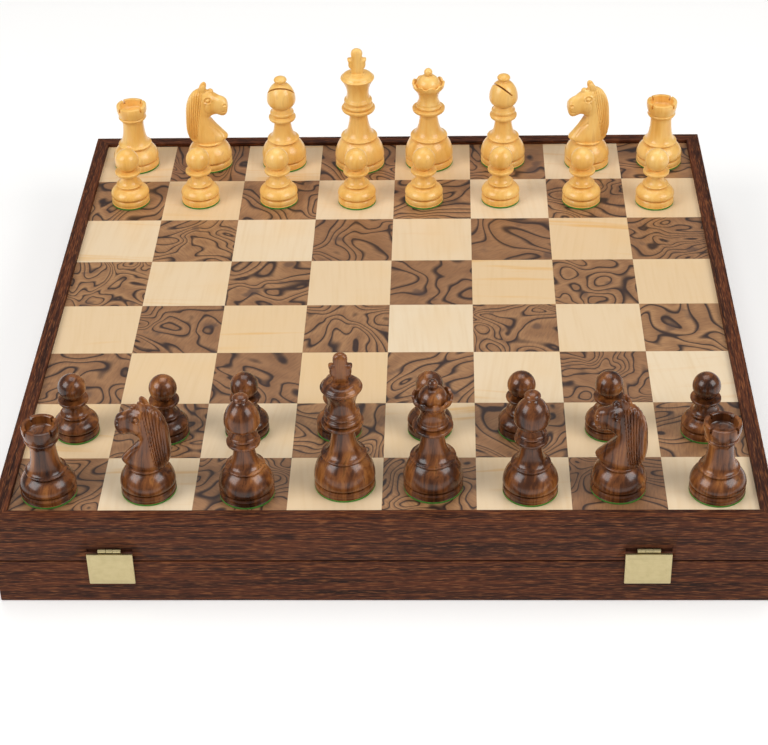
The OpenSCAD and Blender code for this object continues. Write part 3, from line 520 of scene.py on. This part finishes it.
def plateRings(profile, halfWidth, halfHeight, corner):
    # each profile point (inset, y) is a rectangle of half sizes (w, h) - inset at depth y with its corners
    # rounded: P = (sx (w - c) + c cos a, y, sz (h - c) + c sin a), with (sx, sz) the signs of the corner
    turn = np.arange(4) * 90 + 45
    a = np.radians(turn[:, None] + np.linspace(-45, 45, 6)).ravel()
    sx = np.repeat(np.sign(np.cos(np.radians(turn))), 6)
    sz = np.repeat(np.sign(np.sin(np.radians(turn))), 6)
    inset, y = profile[:, :1], profile[:, 1:]
    x = sx * (halfWidth - inset - corner) + corner * np.cos(a)
    z = sz * (halfHeight - inset - corner) + corner * np.sin(a)
    return np.stack([x, y + 0 * x, z], -1)


def claspFlap(side):
    # a plate whose section (inset from its edge, depth) runs from the flat face down a sloping border,
    # round the edge and over the flat back, carried round a rectangle; and a turned knuckle on a neck
    look = claspShape
    low, high = (np.array(corner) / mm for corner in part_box(side + "_clasp_flap"))
    middleX = (low[0] + high[0]) / 2
    height = high[2] - low[2] - look["knuckleRadius"] * 2 - look["recessGap"]
    front, back = low[1], low[1] + look["thickness"]
    halfWidth, halfHeight = (high[0] - low[0]) / 2, height / 2
    e = look["edge"]
    profile = outline([[halfHeight * 0.5, front], [look["border"] + 0.1, front],
                       [look["border"], front + 0.02]],
                      arc((e, front + look["bevel"] + e), (e, e), 280, 180, 5),
                      [[0.0, back - 0.15], [0.12, back], [halfHeight * 0.5, back]])
    rings = plateRings(profile, halfWidth, halfHeight, look["corner"]) + [middleX, 0, low[2] + halfHeight]
    plate = closedRings(rings[:, ::-1], [middleX, front, low[2] + halfHeight],
                        [middleX, back, low[2] + halfHeight])
    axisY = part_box("base_front_wall")[0].y / mm - look["axisOut"]
    axisZ = high[2] - look["knuckleRadius"]
    r, w = look["knuckleRadius"], look["knuckleWidth"] / 2
    reach, along = np.array([[look["bore"], -w], [r - 0.12, -w], [r, -w + 0.12], [r, w - 0.12], [r - 0.12, w],
                             [look["bore"], w]]).T[:, :, None]
    a = np.arange(40) * math.tau / 40
    tube = np.stack([middleX + along + 0 * a, axisY + reach * np.cos(a), axisZ + reach * np.sin(a)], -1)
    knuckle = (tube.reshape(-1, 3), [gridFaces(*tube.shape[:2], closedRows=True)])
    neck = boxShape([middleX - w, axisY - r, low[2] + height - 0.2],
                    [middleX + w, axisY - look["bore"] - 0.05, axisZ])
    piece = addObject(side + "_clasp_plate", meshFrom(side + "_clasp_plate", [plate, knuckle, neck], 4))
    half = look["slotWidth"] / 2
    studZ = low[2] + look["studUp"]
    carve(piece, boxCutter((middleX - half, back - look["slotDepth"], low[2] - 1),
                           (middleX + half, back + 1, studZ)))
    finishPiece(piece, side + "_clasp", "brass", brassPlate, side + "_clasp_flap")


recessCutters = []
for side in ("left", "right"):
    low, high = (np.array(corner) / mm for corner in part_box(side + "_clasp_flap"))
    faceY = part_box("base_front_wall")[0].y / mm
    axisZ = high[2] - claspShape["knuckleRadius"]
    tall = claspShape["knuckleRadius"] + claspShape["recessGap"]
    recessCutters.append(boxCutter((low[0], faceY - 1, axisZ - tall),
                                   (high[0], faceY + claspShape["recess"], axisZ + tall)))
carve(rails["lid_front_wall"], *recessCutters)
for nodeName, rail in rails.items():
    finishPiece(rail, bodyOf[nodeName], "rim_wood", railWood, nodeName)
for side in ("left", "right"):
    claspFlap(side)
print("rails and clasps made")


# The felt linings.

liningShape = {"sheet": 0.8, "perSide": 20, "wallGap": 0.1}


def feltTray(name, nodeName, body, floorSide):
    # q(s) runs once round a square of half size 1; the cloth is rho * L * q on the flat for rho up to 1,
    # and then goes straight up the walls: P = (rho L q, rise)
    low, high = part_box(nodeName)
    thickness = liningShape["sheet"] * mm
    half = high.x - thickness - liningShape["wallGap"] * mm
    tall = high.z - low.z - thickness
    t = np.linspace(-1, 1, liningShape["perSide"], endpoint=False)
    one = np.ones(len(t))
    q = np.vstack([np.column_stack(pair) for pair in ((t, -one), (one, t), (-t, one), (-one, -t))])
    flat, up = np.linspace(0.05, 1, 18), np.linspace(0, 1, 7)[1:]
    rho = np.concatenate([flat, np.ones(len(up))])[:, None]
    rise = np.concatenate([np.zeros(len(flat)), up * tall])[:, None]
    floorZ = low.z + thickness if floorSide > 0 else high.z - thickness
    x, y = half * rho * q[:, 0], half * rho * q[:, 1]
    rings = np.stack([x, y, floorZ + floorSide * rise + 0 * x], -1)
    rows, steps = rings.shape[:2]
    points = np.vstack([rings.reshape(-1, 3), [[0, 0, floorZ]]])
    faces = [gridFaces(rows, steps)[:, ::-1], fanFaces(rows * steps, 0, steps)]
    piece = addObject(name, newMesh(name, points, [f[:, ::floorSide] for f in faces]))
    thick = piece.modifiers.new("thickness", "SOLIDIFY")
    thick.thickness = thickness
    thick.offset = -1
    applied(piece)
    finishPiece(piece, body, "green_felt", felt, nodeName)


feltTray("base_felt", "base_lining", "case", 1)
feltTray("lid_felt", "lid_lining", "lid", -1)
print("linings made")


# The men.

footShape = {"feltThick": 1.2, "glue": 0.05, "feltInset": 0.1, "air": 0.03, "grooveZ": 5.0, "grooveDeep": 0.7,
             "bulbZ": 7.0, "skirtThick": 1.3, "cove": 1.3}
woodZ = footShape["feltThick"] + footShape["glue"]


def footProfile(foot, skirt):
    # from the felt: a small round plinth, a groove, the widest ring at bulbZ, and a shoulder
    # r = inner + (foot - inner) cos(a)^1.7, z = bulbZ + rise sin(a) up to the cove
    f = footShape
    top = skirt[1] - f["skirtThick"] - 0.6
    inner = skirt[0] - f["cove"]
    groove = f["grooveZ"]
    a = np.radians(np.linspace(7, 90, 14))
    shoulder = np.column_stack([inner + (foot - inner) * np.cos(a) ** 1.7,
                                f["bulbZ"] + (top - f["bulbZ"]) * np.sin(a)])
    return outline([[0, woodZ], [foot - f["feltInset"], woodZ]],
                   arc((foot - 1, (woodZ + groove) / 2), (0.9, (groove - woodZ) / 2), -62, 62, 8),
                   [[foot - f["grooveDeep"], groove]],
                   arc((inner, f["bulbZ"]), (foot - inner, f["bulbZ"] - groove), -56, 0, 6),
                   shoulder, [[inner, skirt[1] - f["skirtThick"]]])


def stemProfile(skirt, tall, neck):
    # the skirt's rounded edge, then a hollow quarter ellipse up to the neck
    t = footShape["skirtThick"]
    return outline(arc((skirt[0] - t / 2, skirt[1] - t / 2), (t / 2, t / 2), -90, 62, 8),
                   arc((skirt[0] - 0.4, skirt[1] + tall), (skirt[0] - 0.4 - neck, tall), 266, 180, 16))


def cupProfile(neck, neckZ, tall, collar):
    # a quarter ellipse that swells from the neck to the collar, and the collar's rounded edge
    return outline(arc((neck, neckZ + tall), (collar - neck, tall), -84, 0, 10),
                   arc((collar - 0.5, neckZ + tall + 0.5), (0.5, 0.5), 0, 90, 5))


def beadProfile(r, z, tall):
    return arc((r - tall / 2, z + tall / 2), (tall / 2, tall / 2), -75, 75, 9)


def crownProfile(low, waist, high, z, tall):
    # r = waist + (low - waist) (1 - t)^4 + (high - waist) t^2.3 while the height goes from z to z + tall
    t = np.linspace(0, 1, 18)
    return np.column_stack([waist + (low - waist) * (1 - t) ** 4 + (high - waist) * t ** 2.3, z + tall * t])


kingShape = {"foot": 16.4, "skirt": (12.1, 22.0), "stem": 17.3, "neck": 5.9, "cup": 2.6, "collar": 11.1,
             "rings": 7.2, "waist": 6.7, "crownTall": 14.6, "crown": 11.1, "dome": 2.6,
             "crossTall": 17.7, "crossWide": 12.4, "crossThick": 5.0}


def crossShape(z):
    # the cross's outline O about its middle C, puffed up: P = C + s (O - C) and y = +-T g(s),
    # with g(s) = (1 - s^6)^(1/2.4) and s from 0 in the middle to 1 at the outline
    k = kingShape
    arm, tall = k["crossWide"] / 2, k["crossTall"]
    right = outline([[3.7, z - 0.4], [4.1, z + tall * 0.06], [4.1, z + tall * 0.19], [4.3, z + tall * 0.22]],
                    [[arm - 1.3, z + tall * 0.235], [arm - 0.8, z + tall * 0.27]],
                    arc((arm - 0.9, z + tall * 0.37), (0.45, tall * 0.07), -60, 60, 5),
                    [[arm - 0.35, z + tall * 0.5], [arm, z + tall * 0.56], [arm - 0.05, z + tall * 0.6]],
                    [[arm - 0.5, z + tall * 0.615], [arm - 2.3, z + tall * 0.62],
                     [arm - 2.4, z + tall * 0.65]],
                    arc((0, z + tall * 0.8), (3.8, tall * 0.2), -38, 90, 12))
    around = outline(right, right[-2::-1] * [-1, 1])
    centre = np.array([0, z + tall * 0.35])
    s = np.concatenate([np.linspace(0.15, 0.85, 8), [0.92, 0.97, 0.99, 1.0]])
    thick = k["crossThick"] / 2 * (1 - s ** 6) ** (1 / 2.4) + 0.25 * (s < 1)
    s, thick = np.concatenate([s, s[-2::-1]]), np.concatenate([-thick, thick[-2::-1]])
    flat = centre + s[:, None, None] * (around - centre)
    rings = np.stack([flat[..., 0], thick[:, None] + 0 * flat[..., 0], flat[..., 1]], -1)
    half = k["crossThick"] / 2 + 0.25
    return closedRings(rings, [centre[0], -half, centre[1]], [centre[0], half, centre[1]])


def kingParts():
    k = kingShape
    neckZ = k["skirt"][1] + k["stem"]
    ringsZ = neckZ + k["cup"] + 1
    crownZ = ringsZ + k["rings"]
    edgeZ = crownZ + k["crownTall"]
    top = edgeZ + k["dome"]
    profile = outline(
        footProfile(k["foot"], k["skirt"]), stemProfile(k["skirt"], k["stem"], k["neck"]),
        cupProfile(k["neck"], neckZ, k["cup"], k["collar"]),
        beadProfile(k["collar"] - 1.3, ringsZ, k["rings"] * 0.42),
        beadProfile(k["collar"] - 1.8, ringsZ + k["rings"] * 0.48, k["rings"] * 0.42),
        crownProfile(k["waist"] + 1, k["waist"], k["crown"] - 0.3, crownZ, k["crownTall"] - 1.2),
        arc((k["crown"] - 0.6, edgeZ - 0.6), (0.6, 0.6), -30, 90, 7),
        arc((5.4, edgeZ), (k["crown"] - 6.4, k["dome"]), 8, 82, 8),
        [[5.4, top], [5.2, top + 0.5], [4.1, top + 0.9], [0, top + 0.9]])
    return [turnedShape(profile), crossShape(top)]


queenShape = {"foot": 16.0, "skirt": (12.3, 21.0), "stem": 16.7, "neck": 5.9, "cup": 2.5, "collar": 10.8,
              "ring": 4.6, "ringOut": 8.4, "waist": 5.7, "crownTall": 14.0, "crown": 10.8, "points": 9,
              "topTall": 9.6, "ball": 2.8, "moat": 2.5, "notch": 2.4, "notchUp": 0.8}


def queenParts():
    # the coronet's rim is lowered to z <= edge + up - sqrt(R^2 - d^2) within R of each notch's middle,
    # where d is the distance along the rim
    q = queenShape
    neckZ = q["skirt"][1] + q["stem"]
    ringZ = neckZ + q["cup"] + 1
    crownZ = ringZ + q["ring"]
    edgeZ = crownZ + q["crownTall"]
    moatZ = edgeZ - q["moat"]
    inner = q["crown"] - 1.3
    dome = inner - 1.5
    ballZ = edgeZ + q["topTall"] - q["ball"]

    def notched(r, z, a):
        pitch = math.tau / q["points"]
        d = (a / pitch % 1 - 0.5) * pitch * (q["crown"] - 0.7)
        depth = np.sqrt(np.clip(q["notch"] ** 2 - d ** 2, 0, None)) - q["notchUp"]
        limit = edgeZ - np.clip(depth, 0, None)
        return np.where(r > inner - 0.65, np.minimum(z, limit), z)

    profile = outline(
        footProfile(q["foot"], q["skirt"]), stemProfile(q["skirt"], q["stem"], q["neck"]),
        cupProfile(q["neck"], neckZ, q["cup"], q["collar"]),
        beadProfile(q["ringOut"], ringZ, q["ring"] * 0.6),
        crownProfile(q["waist"] + 1.8, q["waist"], q["crown"] - 0.5, crownZ - 1, q["crownTall"] - q["moat"]),
        [[q["crown"] - 0.35, moatZ - 0.3], [q["crown"] - 0.1, edgeZ - 1.2], [q["crown"], edgeZ - 0.3],
         [q["crown"] - 0.3, edgeZ], [inner + 0.2, edgeZ], [inner, edgeZ - 0.3],
         [inner - 0.6, moatZ], [dome, moatZ]],
        arc((0, moatZ), (dome, ballZ - q["ball"] + 1 - moatZ), 8, 75, 9),
        arc((0, ballZ), (q["ball"], q["ball"]), -55, 90, 12))
    return [turnedShape(profile, 144, notched)]


bishopShape = {"foot": 14.8, "skirt": (10.6, 19.6), "stem": 12.9, "neck": 5.5, "cup": 2.0, "collar": 9.0,
               "ring": 5.1, "mitre": 9.5, "mitreTall": 18.9, "finial": 4.3, "finialTall": 4.8,
               "cutWide": 1.1, "cutUp": 4.0, "cutRise": 50.0}


def bishopParts():
    b = bishopShape
    neckZ = b["skirt"][1] + b["stem"]
    ringZ = neckZ + b["cup"] + 1
    mitreZ = ringZ + b["ring"]
    wideZ = mitreZ + b["mitreTall"] * 0.38
    finialZ = mitreZ + b["mitreTall"]
    return [turnedShape(outline(
        footProfile(b["foot"], b["skirt"]), stemProfile(b["skirt"], b["stem"], b["neck"]),
        cupProfile(b["neck"], neckZ, b["cup"], b["collar"]), beadProfile(b["collar"] - 1.1, ringZ + 1.3, 2.9),
        arc((0, wideZ), (b["mitre"], wideZ - mitreZ), -52, 0, 9),
        arc((0, wideZ), (b["mitre"], finialZ - wideZ + 0.8), 5, 70, 16),
        arc((0, finialZ + b["finialTall"] / 2), (b["finial"], b["finialTall"] / 2), -48, 90, 14)))]


def bishopCutter():
    b = bishopShape
    wideZ = b["skirt"][1] + b["stem"] + b["cup"] + 1 + b["ring"] + b["mitreTall"] * 0.38
    lean = Matrix.Translation((0, 0, (wideZ + b["cutUp"]) * mm)) @ Matrix.Rotation(
        math.radians(-b["cutRise"]), 4, "Y")
    return [boxCutter((0, -15, -b["cutWide"] / 2), (15, 15, b["cutWide"] / 2), lean)]


rookShape = {"foot": 15.0, "skirt": (11.1, 16.8), "stem": 14.2, "neck": 6.9, "flare": 6.0, "crownLow": 8.9,
             "crown": 9.9, "crownTall": 8.0, "wall": 2.2, "cup": 4.6, "notchWide": 1.6, "notchDeep": 2.8}


def rookTop():
    return rookShape["skirt"][1] + rookShape["stem"] + rookShape["flare"] + rookShape["crownTall"]


def rookParts():
    k = rookShape
    neckZ = k["skirt"][1] + k["stem"]
    crownZ = neckZ + k["flare"]
    top = rookTop()
    cup = k["crown"] - k["wall"]
    return [turnedShape(outline(
        footProfile(k["foot"], k["skirt"]), stemProfile(k["skirt"], k["stem"], k["neck"]),
        arc((k["crownLow"], neckZ), (k["crownLow"] - k["neck"], k["flare"] - 1.6), 176, 92, 9),
        beadProfile(k["crownLow"] + 0.3, crownZ - 1.5, 1.5),
        [[k["crownLow"], crownZ + 0.3], [k["crownLow"] + 0.25, crownZ + 1.5], [k["crown"] - 0.1, crownZ + 4],
         [k["crown"], crownZ + 5], [k["crown"], top - 0.5], [k["crown"] - 0.15, top - 0.15],
         [k["crown"] - 0.5, top], [cup + 0.3, top], [cup, top - 0.3]],
        arc((0, top - k["cup"]), (cup, 2), 0, -90, 10)))]


def rookCutters():
    k = rookShape
    half, low = k["notchWide"] / 2, rookTop() - k["notchDeep"]
    return [boxCutter((-20, -half, low), (20, half, low + 10), Matrix.Rotation(math.radians(turn), 4, "Z"))
            for turn in (45, 135)]


pawnShape = {"foot": 12.4, "skirt": (8.3, 14.4), "stem": 6.2, "neck": 4.9, "cup": 1.8, "collar": 8.4,
             "head": 7.7}


def pawnParts():
    p = pawnShape
    neckZ = p["skirt"][1] + p["stem"]
    headZ = neckZ + p["cup"] + 1 + p["head"] * 0.94
    return [turnedShape(outline(
        footProfile(p["foot"], p["skirt"]), stemProfile(p["skirt"], p["stem"], p["neck"]),
        cupProfile(p["neck"], neckZ, p["cup"], p["collar"]),
        arc((0, headZ), (p["head"], p["head"]), -58, 90, 24)), 72)]


# The carved horse, facing +X on a foot that ends at z = 0. Each row is a slice from the back edge (x, z) to
# the front edge (x, z), with half its thickness and how much thinner it is in front.
knightShape = {"foot": 14.8, "disc": 10.4, "footTall": 19.0, "voxel": 0.38, "slices": 150, "around": 80}
horseSlices = np.array([
    [-10.0, -1.0, 9.6, -1.0, 8.0, 0.10], [-12.0, 0.5, 11.8, 0.3, 8.6, 0.20],
    [-13.6, 4.2, 13.1, 2.0, 8.8, 0.32], [-14.3, 9.5, 10.0, 5.8, 8.4, 0.34],
    [-14.1, 16.0, 6.0, 10.4, 7.6, 0.28], [-13.5, 23.5, 2.9, 14.3, 6.8, 0.12],
    [-11.8, 29.5, 1.9, 16.2, 6.1, 0.00], [-8.6, 34.4, 3.0, 17.4, 5.7, -0.05],
    [-4.2, 36.8, 4.8, 18.4, 5.6, -0.05], [0.8, 36.0, 6.8, 18.6, 5.3, 0.00],
    [4.6, 34.4, 8.4, 17.9, 4.8, 0.05], [8.4, 31.9, 10.2, 17.2, 4.2, 0.10],
    [11.6, 30.5, 12.2, 17.6, 3.8, 0.12], [13.6, 28.6, 13.6, 19.4, 3.3, 0.12],
    [14.4, 25.5, 14.2, 22.0, 2.0, 0.0]])


def throughRows(rows, count):
    # a smooth curve through the rows: cubic Hermite pieces whose slopes are half the neighbours' difference
    slopes = np.gradient(rows, axis=0)
    t = np.linspace(0, len(rows) - 1 - 1e-9, count)
    i = t.astype(int)
    u = (t - i)[:, None]
    a, b, da, db = rows[i], rows[i + 1], slopes[i], slopes[i + 1]
    return ((2 * u ** 3 - 3 * u ** 2 + 1) * a + (u ** 3 - 2 * u ** 2 + u) * da
            + (3 * u ** 2 - 2 * u ** 3) * b + (u ** 3 - u ** 2) * db)


def horseBody():
    # slice t: P = middle + half chord * c^0.85 along the slice, and y = T s^0.85 (1 - k max(c, 0)) across it,
    # where c and s are the cosine and sine of the angle round the slice, with their signs
    rows = throughRows(horseSlices, knightShape["slices"])
    a = np.arange(knightShape["around"]) * math.tau / knightShape["around"]
    c = np.sign(np.cos(a)) * np.abs(np.cos(a)) ** 0.85
    s = np.sign(np.sin(a)) * np.abs(np.sin(a)) ** 0.85
    back, front, thick, thinner = rows[:, 0:2], rows[:, 2:4], rows[:, 4:5], rows[:, 5:6]
    flat = (back + front)[:, None] / 2 + (front - back)[:, None] / 2 * c[:, None]
    y = thick * s * (1 - thinner * np.maximum(c, 0))
    rings = np.stack([flat[..., 0], y, flat[..., 1]], -1)
    ends = [(rings[i].max(0) + rings[i].min(0)) / 2 for i in (0, -1)]
    return closedRings(rings, ends[0], ends[1] + [0.3, 0, 0])


def egg(centre, radii, lean):
    # an ellipsoid with those half sizes, leaning by `lean` degrees towards +X
    profile = arc((0, 0), (1, 1), -90, 90, 17)
    points, faces = turnedShape(profile, 24)
    turned = np.array(Matrix.Rotation(math.radians(lean), 3, "Y"))
    return (points * radii) @ turned.T + centre, faces


def distanceTo(line, x, z):
    # the shortest distance from each (x, z) to a line through points
    start, run = line[:-1], np.diff(line, axis=0)
    px, pz = x[:, None] - start[:, 0], z[:, None] - start[:, 1]
    t = np.clip((px * run[:, 0] + pz * run[:, 1]) / (run ** 2).sum(1), 0, 1)
    return np.hypot(px - t * run[:, 0], pz - t * run[:, 1]).min(1)


def bell(x, width):
    return np.exp(-(x / width) ** 2)


def carving(x, z):
    # how far the tool marks stand out or cut in, in millimetres, as sums of bell curves: near-upright mane
    # grooves evenly spaced from the back edge to a slanting front one, cheek, ringed eye, nostril, mouth,
    # chest
    back, front = -13.7 + 0.03 * (z - 6), -6.6 + 0.165 * (z - 6)
    u = (x - back) / (front - back)
    mane = (smoothStep(-0.02, 0.04, u) * smoothStep(1.03, 0.97, u)
            * smoothStep(1, 4, z) * smoothStep(38, 34, z))
    depth = -0.75 * mane * bell((u * 6.5) % 1 - 0.5, 0.22)
    cheek = np.hypot(x - 4.2, z - 24.5)
    depth += 0.4 * bell(cheek, 3.4) - 0.4 * bell(cheek - 4.8, 0.5) * smoothStep(7.0, 3.0, x)
    eye = np.hypot((x - 1.6) * 0.85, z - 30.4)
    depth += 0.55 * bell(eye, 0.8) - 0.65 * bell(eye - 1.5, 0.42) + 0.35 * bell(eye - 2.3, 0.45)
    nostril = np.hypot(x - 12.4, (z - 26.0) * 1.2)
    depth += -0.8 * bell(nostril, 0.75) + 0.25 * bell(nostril - 1.5, 0.45)
    depth -= 0.8 * bell(distanceTo(np.array([[14.4, 21.6], [12.2, 21.0], [10.3, 20.9]]), x, z), 0.4)
    chest = distanceTo(np.array([[1.8, 12.5], [6.5, 8.5], [10.0, 4.0], [10.2, 1.0]]), x, z)
    return depth - 0.3 * bell(chest, 0.45)


def knightParts():
    k = knightShape
    t = footShape["skirtThick"]
    foot = turnedShape(outline(
        footProfile(k["foot"], (k["disc"], k["footTall"])),
        arc((k["disc"] - t / 2, k["footTall"] - t / 2), (t / 2, t / 2), -90, 90, 10), [[0, k["footTall"]]]))
    ears = [egg((-1.7, y, 36.9), (2.3, 1.35, 4.2), 22) for y in (-2.3, 2.3)]
    forelock = egg((3.3, 0, 34.6), (2.2, 2.2, 2.3), 28)
    horse = addObject("horse", meshFrom("horse", [horseBody(), *ears, forelock]))
    remesh = horse.modifiers.new("skin", "REMESH")
    remesh.mode = "VOXEL"
    remesh.voxel_size = k["voxel"] * mm
    soften = horse.modifiers.new("soften", "SMOOTH")
    soften.factor = 0.5
    soften.iterations = 5
    mesh = applied(horse)
    count = len(mesh.vertices)
    points, normals = np.zeros(count * 3), np.zeros(count * 3)
    mesh.vertices.foreach_get("co", points)
    mesh.vertex_normals.foreach_get("vector", normals)
    points, normals = points.reshape(-1, 3) / mm, normals.reshape(-1, 3)
    sideways = smoothStep(0.1, 0.6, np.abs(normals[:, 1]))
    points += normals * (carving(points[:, 0], points[:, 2]) * sideways)[:, None]
    corners = np.zeros(len(mesh.loops), int)
    mesh.loops.foreach_get("vertex_index", corners)
    bpy.data.objects.remove(horse)
    return [foot, (points + [0, 0, k["footTall"]], [corners.reshape(-1, 4)])]


parts = {"king": kingParts, "queen": queenParts, "bishop": bishopParts, "rook": rookParts,
         "knight": knightParts,
         "pawn": pawnParts}
cutters = {"bishop": bishopCutter, "rook": rookCutters}
masters = {}
for kind, make in parts.items():
    master = addObject(kind, meshFrom(kind, make()))
    if kind in cutters:
        carve(master, *cutters[kind]())
        master.data.shade_smooth()
        master.data.set_sharp_from_angle(angle=math.radians(38))
    masters[kind] = master.data
    bpy.data.objects.remove(master)
    print(kind, "shaped:", len(masters[kind].vertices), "points")

# how far each man is turned on its square, in degrees; 0 faces +X, and the king's cross faces the players
turns = {"dark_knight_1": 172, "dark_knight_2": 160, "light_knight_1": 2, "light_knight_2": 194,
         "dark_bishop_1": 90, "dark_bishop_2": 90, "light_bishop_1": -90, "light_bishop_2": -140}


def footCentre(nodeName):
    # the middle of the felt under a man
    places = np.zeros(len(nodes[nodeName].data.vertices) * 3)
    nodes[nodeName].data.vertices.foreach_get("co", places)
    places = places.reshape(-1, 3)
    low = places[places[:, 2] < boardTop + 2 * mm]
    return (low.max(0) + low.min(0)) / 2


shapes = {"king": kingShape, "queen": queenShape, "bishop": bishopShape, "rook": rookShape,
          "knight": knightShape, "pawn": pawnShape}


def standMan(nodeName, kind, army):
    # the master turned and set on its square, with a felt disc under it
    x, y, _ = footCentre(nodeName)
    turn = Matrix.Rotation(math.radians(turns.get(nodeName, 0)), 4, "Z")
    place = Matrix.Translation((x, y, boardTop)) @ turn
    mesh = masters[kind].copy()
    mesh.transform(place)
    man = finishPiece(addObject(nodeName + "_wood", mesh), nodeName, army + "_men_wood", menWood[army],
                      nodeName)
    r = shapes[kind]["foot"] - footShape["feltInset"]
    thick, under = footShape["feltThick"], footShape["air"]
    disc = meshFrom(nodeName + "_felt", [turnedShape(np.array(
        [[0, under], [r * 0.5, under], [r - 0.15, under], [r, 0.2], [r, thick - 0.1],
         [r - 0.1, thick], [r * 0.5, thick], [0, thick]]), 48)])
    disc.transform(place)
    pad = finishPiece(addObject(nodeName + "_felt", disc), nodeName, "green_felt", felt)


for army in armies:
    for number, kind in enumerate(backRank):
        alone = kind in ("king", "queen")
        standMan(f"{army}_{kind}" if alone else f"{army}_{kind}_{1 if number < 4 else 2}", kind, army)
        standMan(f"{army}_pawn_{number + 1}", "pawn", army)


# Floor, light and camera.

stageLooks = {"floorSize": 6.0, "floorColour": "#f6f5f3", "floorGlow": 0.12, "worldStrength": 0.25,
              "boxSize": 1.05, "boxPower": 17.5, "boxPlaces": ((-1.25, -0.72, 1.1), (1.3, -0.68, 1.15)),
              "topPower": 11.0, "topPlace": (0.0, 0.4, 1.7), "topSize": 1.2}


def studioFloor():
    # a pale seamless paper floor that is lit a little by itself, so it stays pale under the case
    s = stageLooks["floorSize"]
    mesh = bpy.data.meshes.new("floor")
    mesh.from_pydata([(-s, -s, 0), (s, -s, 0), (s, s, 0), (-s, s, 0)], [], [(0, 1, 2, 3)])
    floor = addObject("floor", mesh)
    material = newMaterial("white studio paper", base_color=stageLooks["floorColour"], roughness=0.9,
                           emission_color="#ffffff", emission_strength=stageLooks["floorGlow"])[0]
    floor.data.materials.append(material)


def softLight(name, place, power, size):
    light = bpy.data.lights.new(name, "AREA")
    light.shape = "SQUARE"
    light.size = size
    light.energy = power
    lamp = bpy.data.objects.new(name, light)
    lamp.location = place
    lamp.rotation_euler = (Vector((0, 0, 0.06)) - lamp.location).to_track_quat("-Z", "Y").to_euler()
    bpy.context.scene.collection.objects.link(lamp)


studioFloor()
for name, place in zip(("left softbox", "right softbox"), stageLooks["boxPlaces"]):
    softLight(name, place, stageLooks["boxPower"], stageLooks["boxSize"])
softLight("top light", stageLooks["topPlace"], stageLooks["topPower"], stageLooks["topSize"])
world = bpy.data.worlds.new("studio")
world.use_nodes = True
world.node_tree.nodes["Background"].inputs[0].default_value = (1, 1, 1, 1)
world.node_tree.nodes["Background"].inputs[1].default_value = stageLooks["worldStrength"]
bpy.context.scene.world = world
bpy.context.scene.view_settings.view_transform = "Standard"

view = {"place": (0.036, -1.011, 0.7243), "aim": (-0.00176, -0.0703, 0.0535), "roll": 1.547, "lens": 94.16}
camera = bpy.data.objects.new("camera", bpy.data.cameras.new("camera"))
camera.data.lens = view["lens"]
camera.data.sensor_width = 36
camera.data.sensor_fit = "HORIZONTAL"
forward = (Vector(view["aim"]) - Vector(view["place"])).normalized()
level = forward.cross(Vector((0, 0, 1))).normalized()
right = Matrix.Rotation(math.radians(view["roll"]), 3, forward) @ level
facing = Matrix((right, right.cross(forward), -forward)).transposed()
camera.matrix_world = Matrix.Translation(view["place"]) @ facing.to_4x4()
bpy.context.scene.collection.objects.link(camera)
bpy.context.scene.camera = camera

bpy.context.view_layer.update()
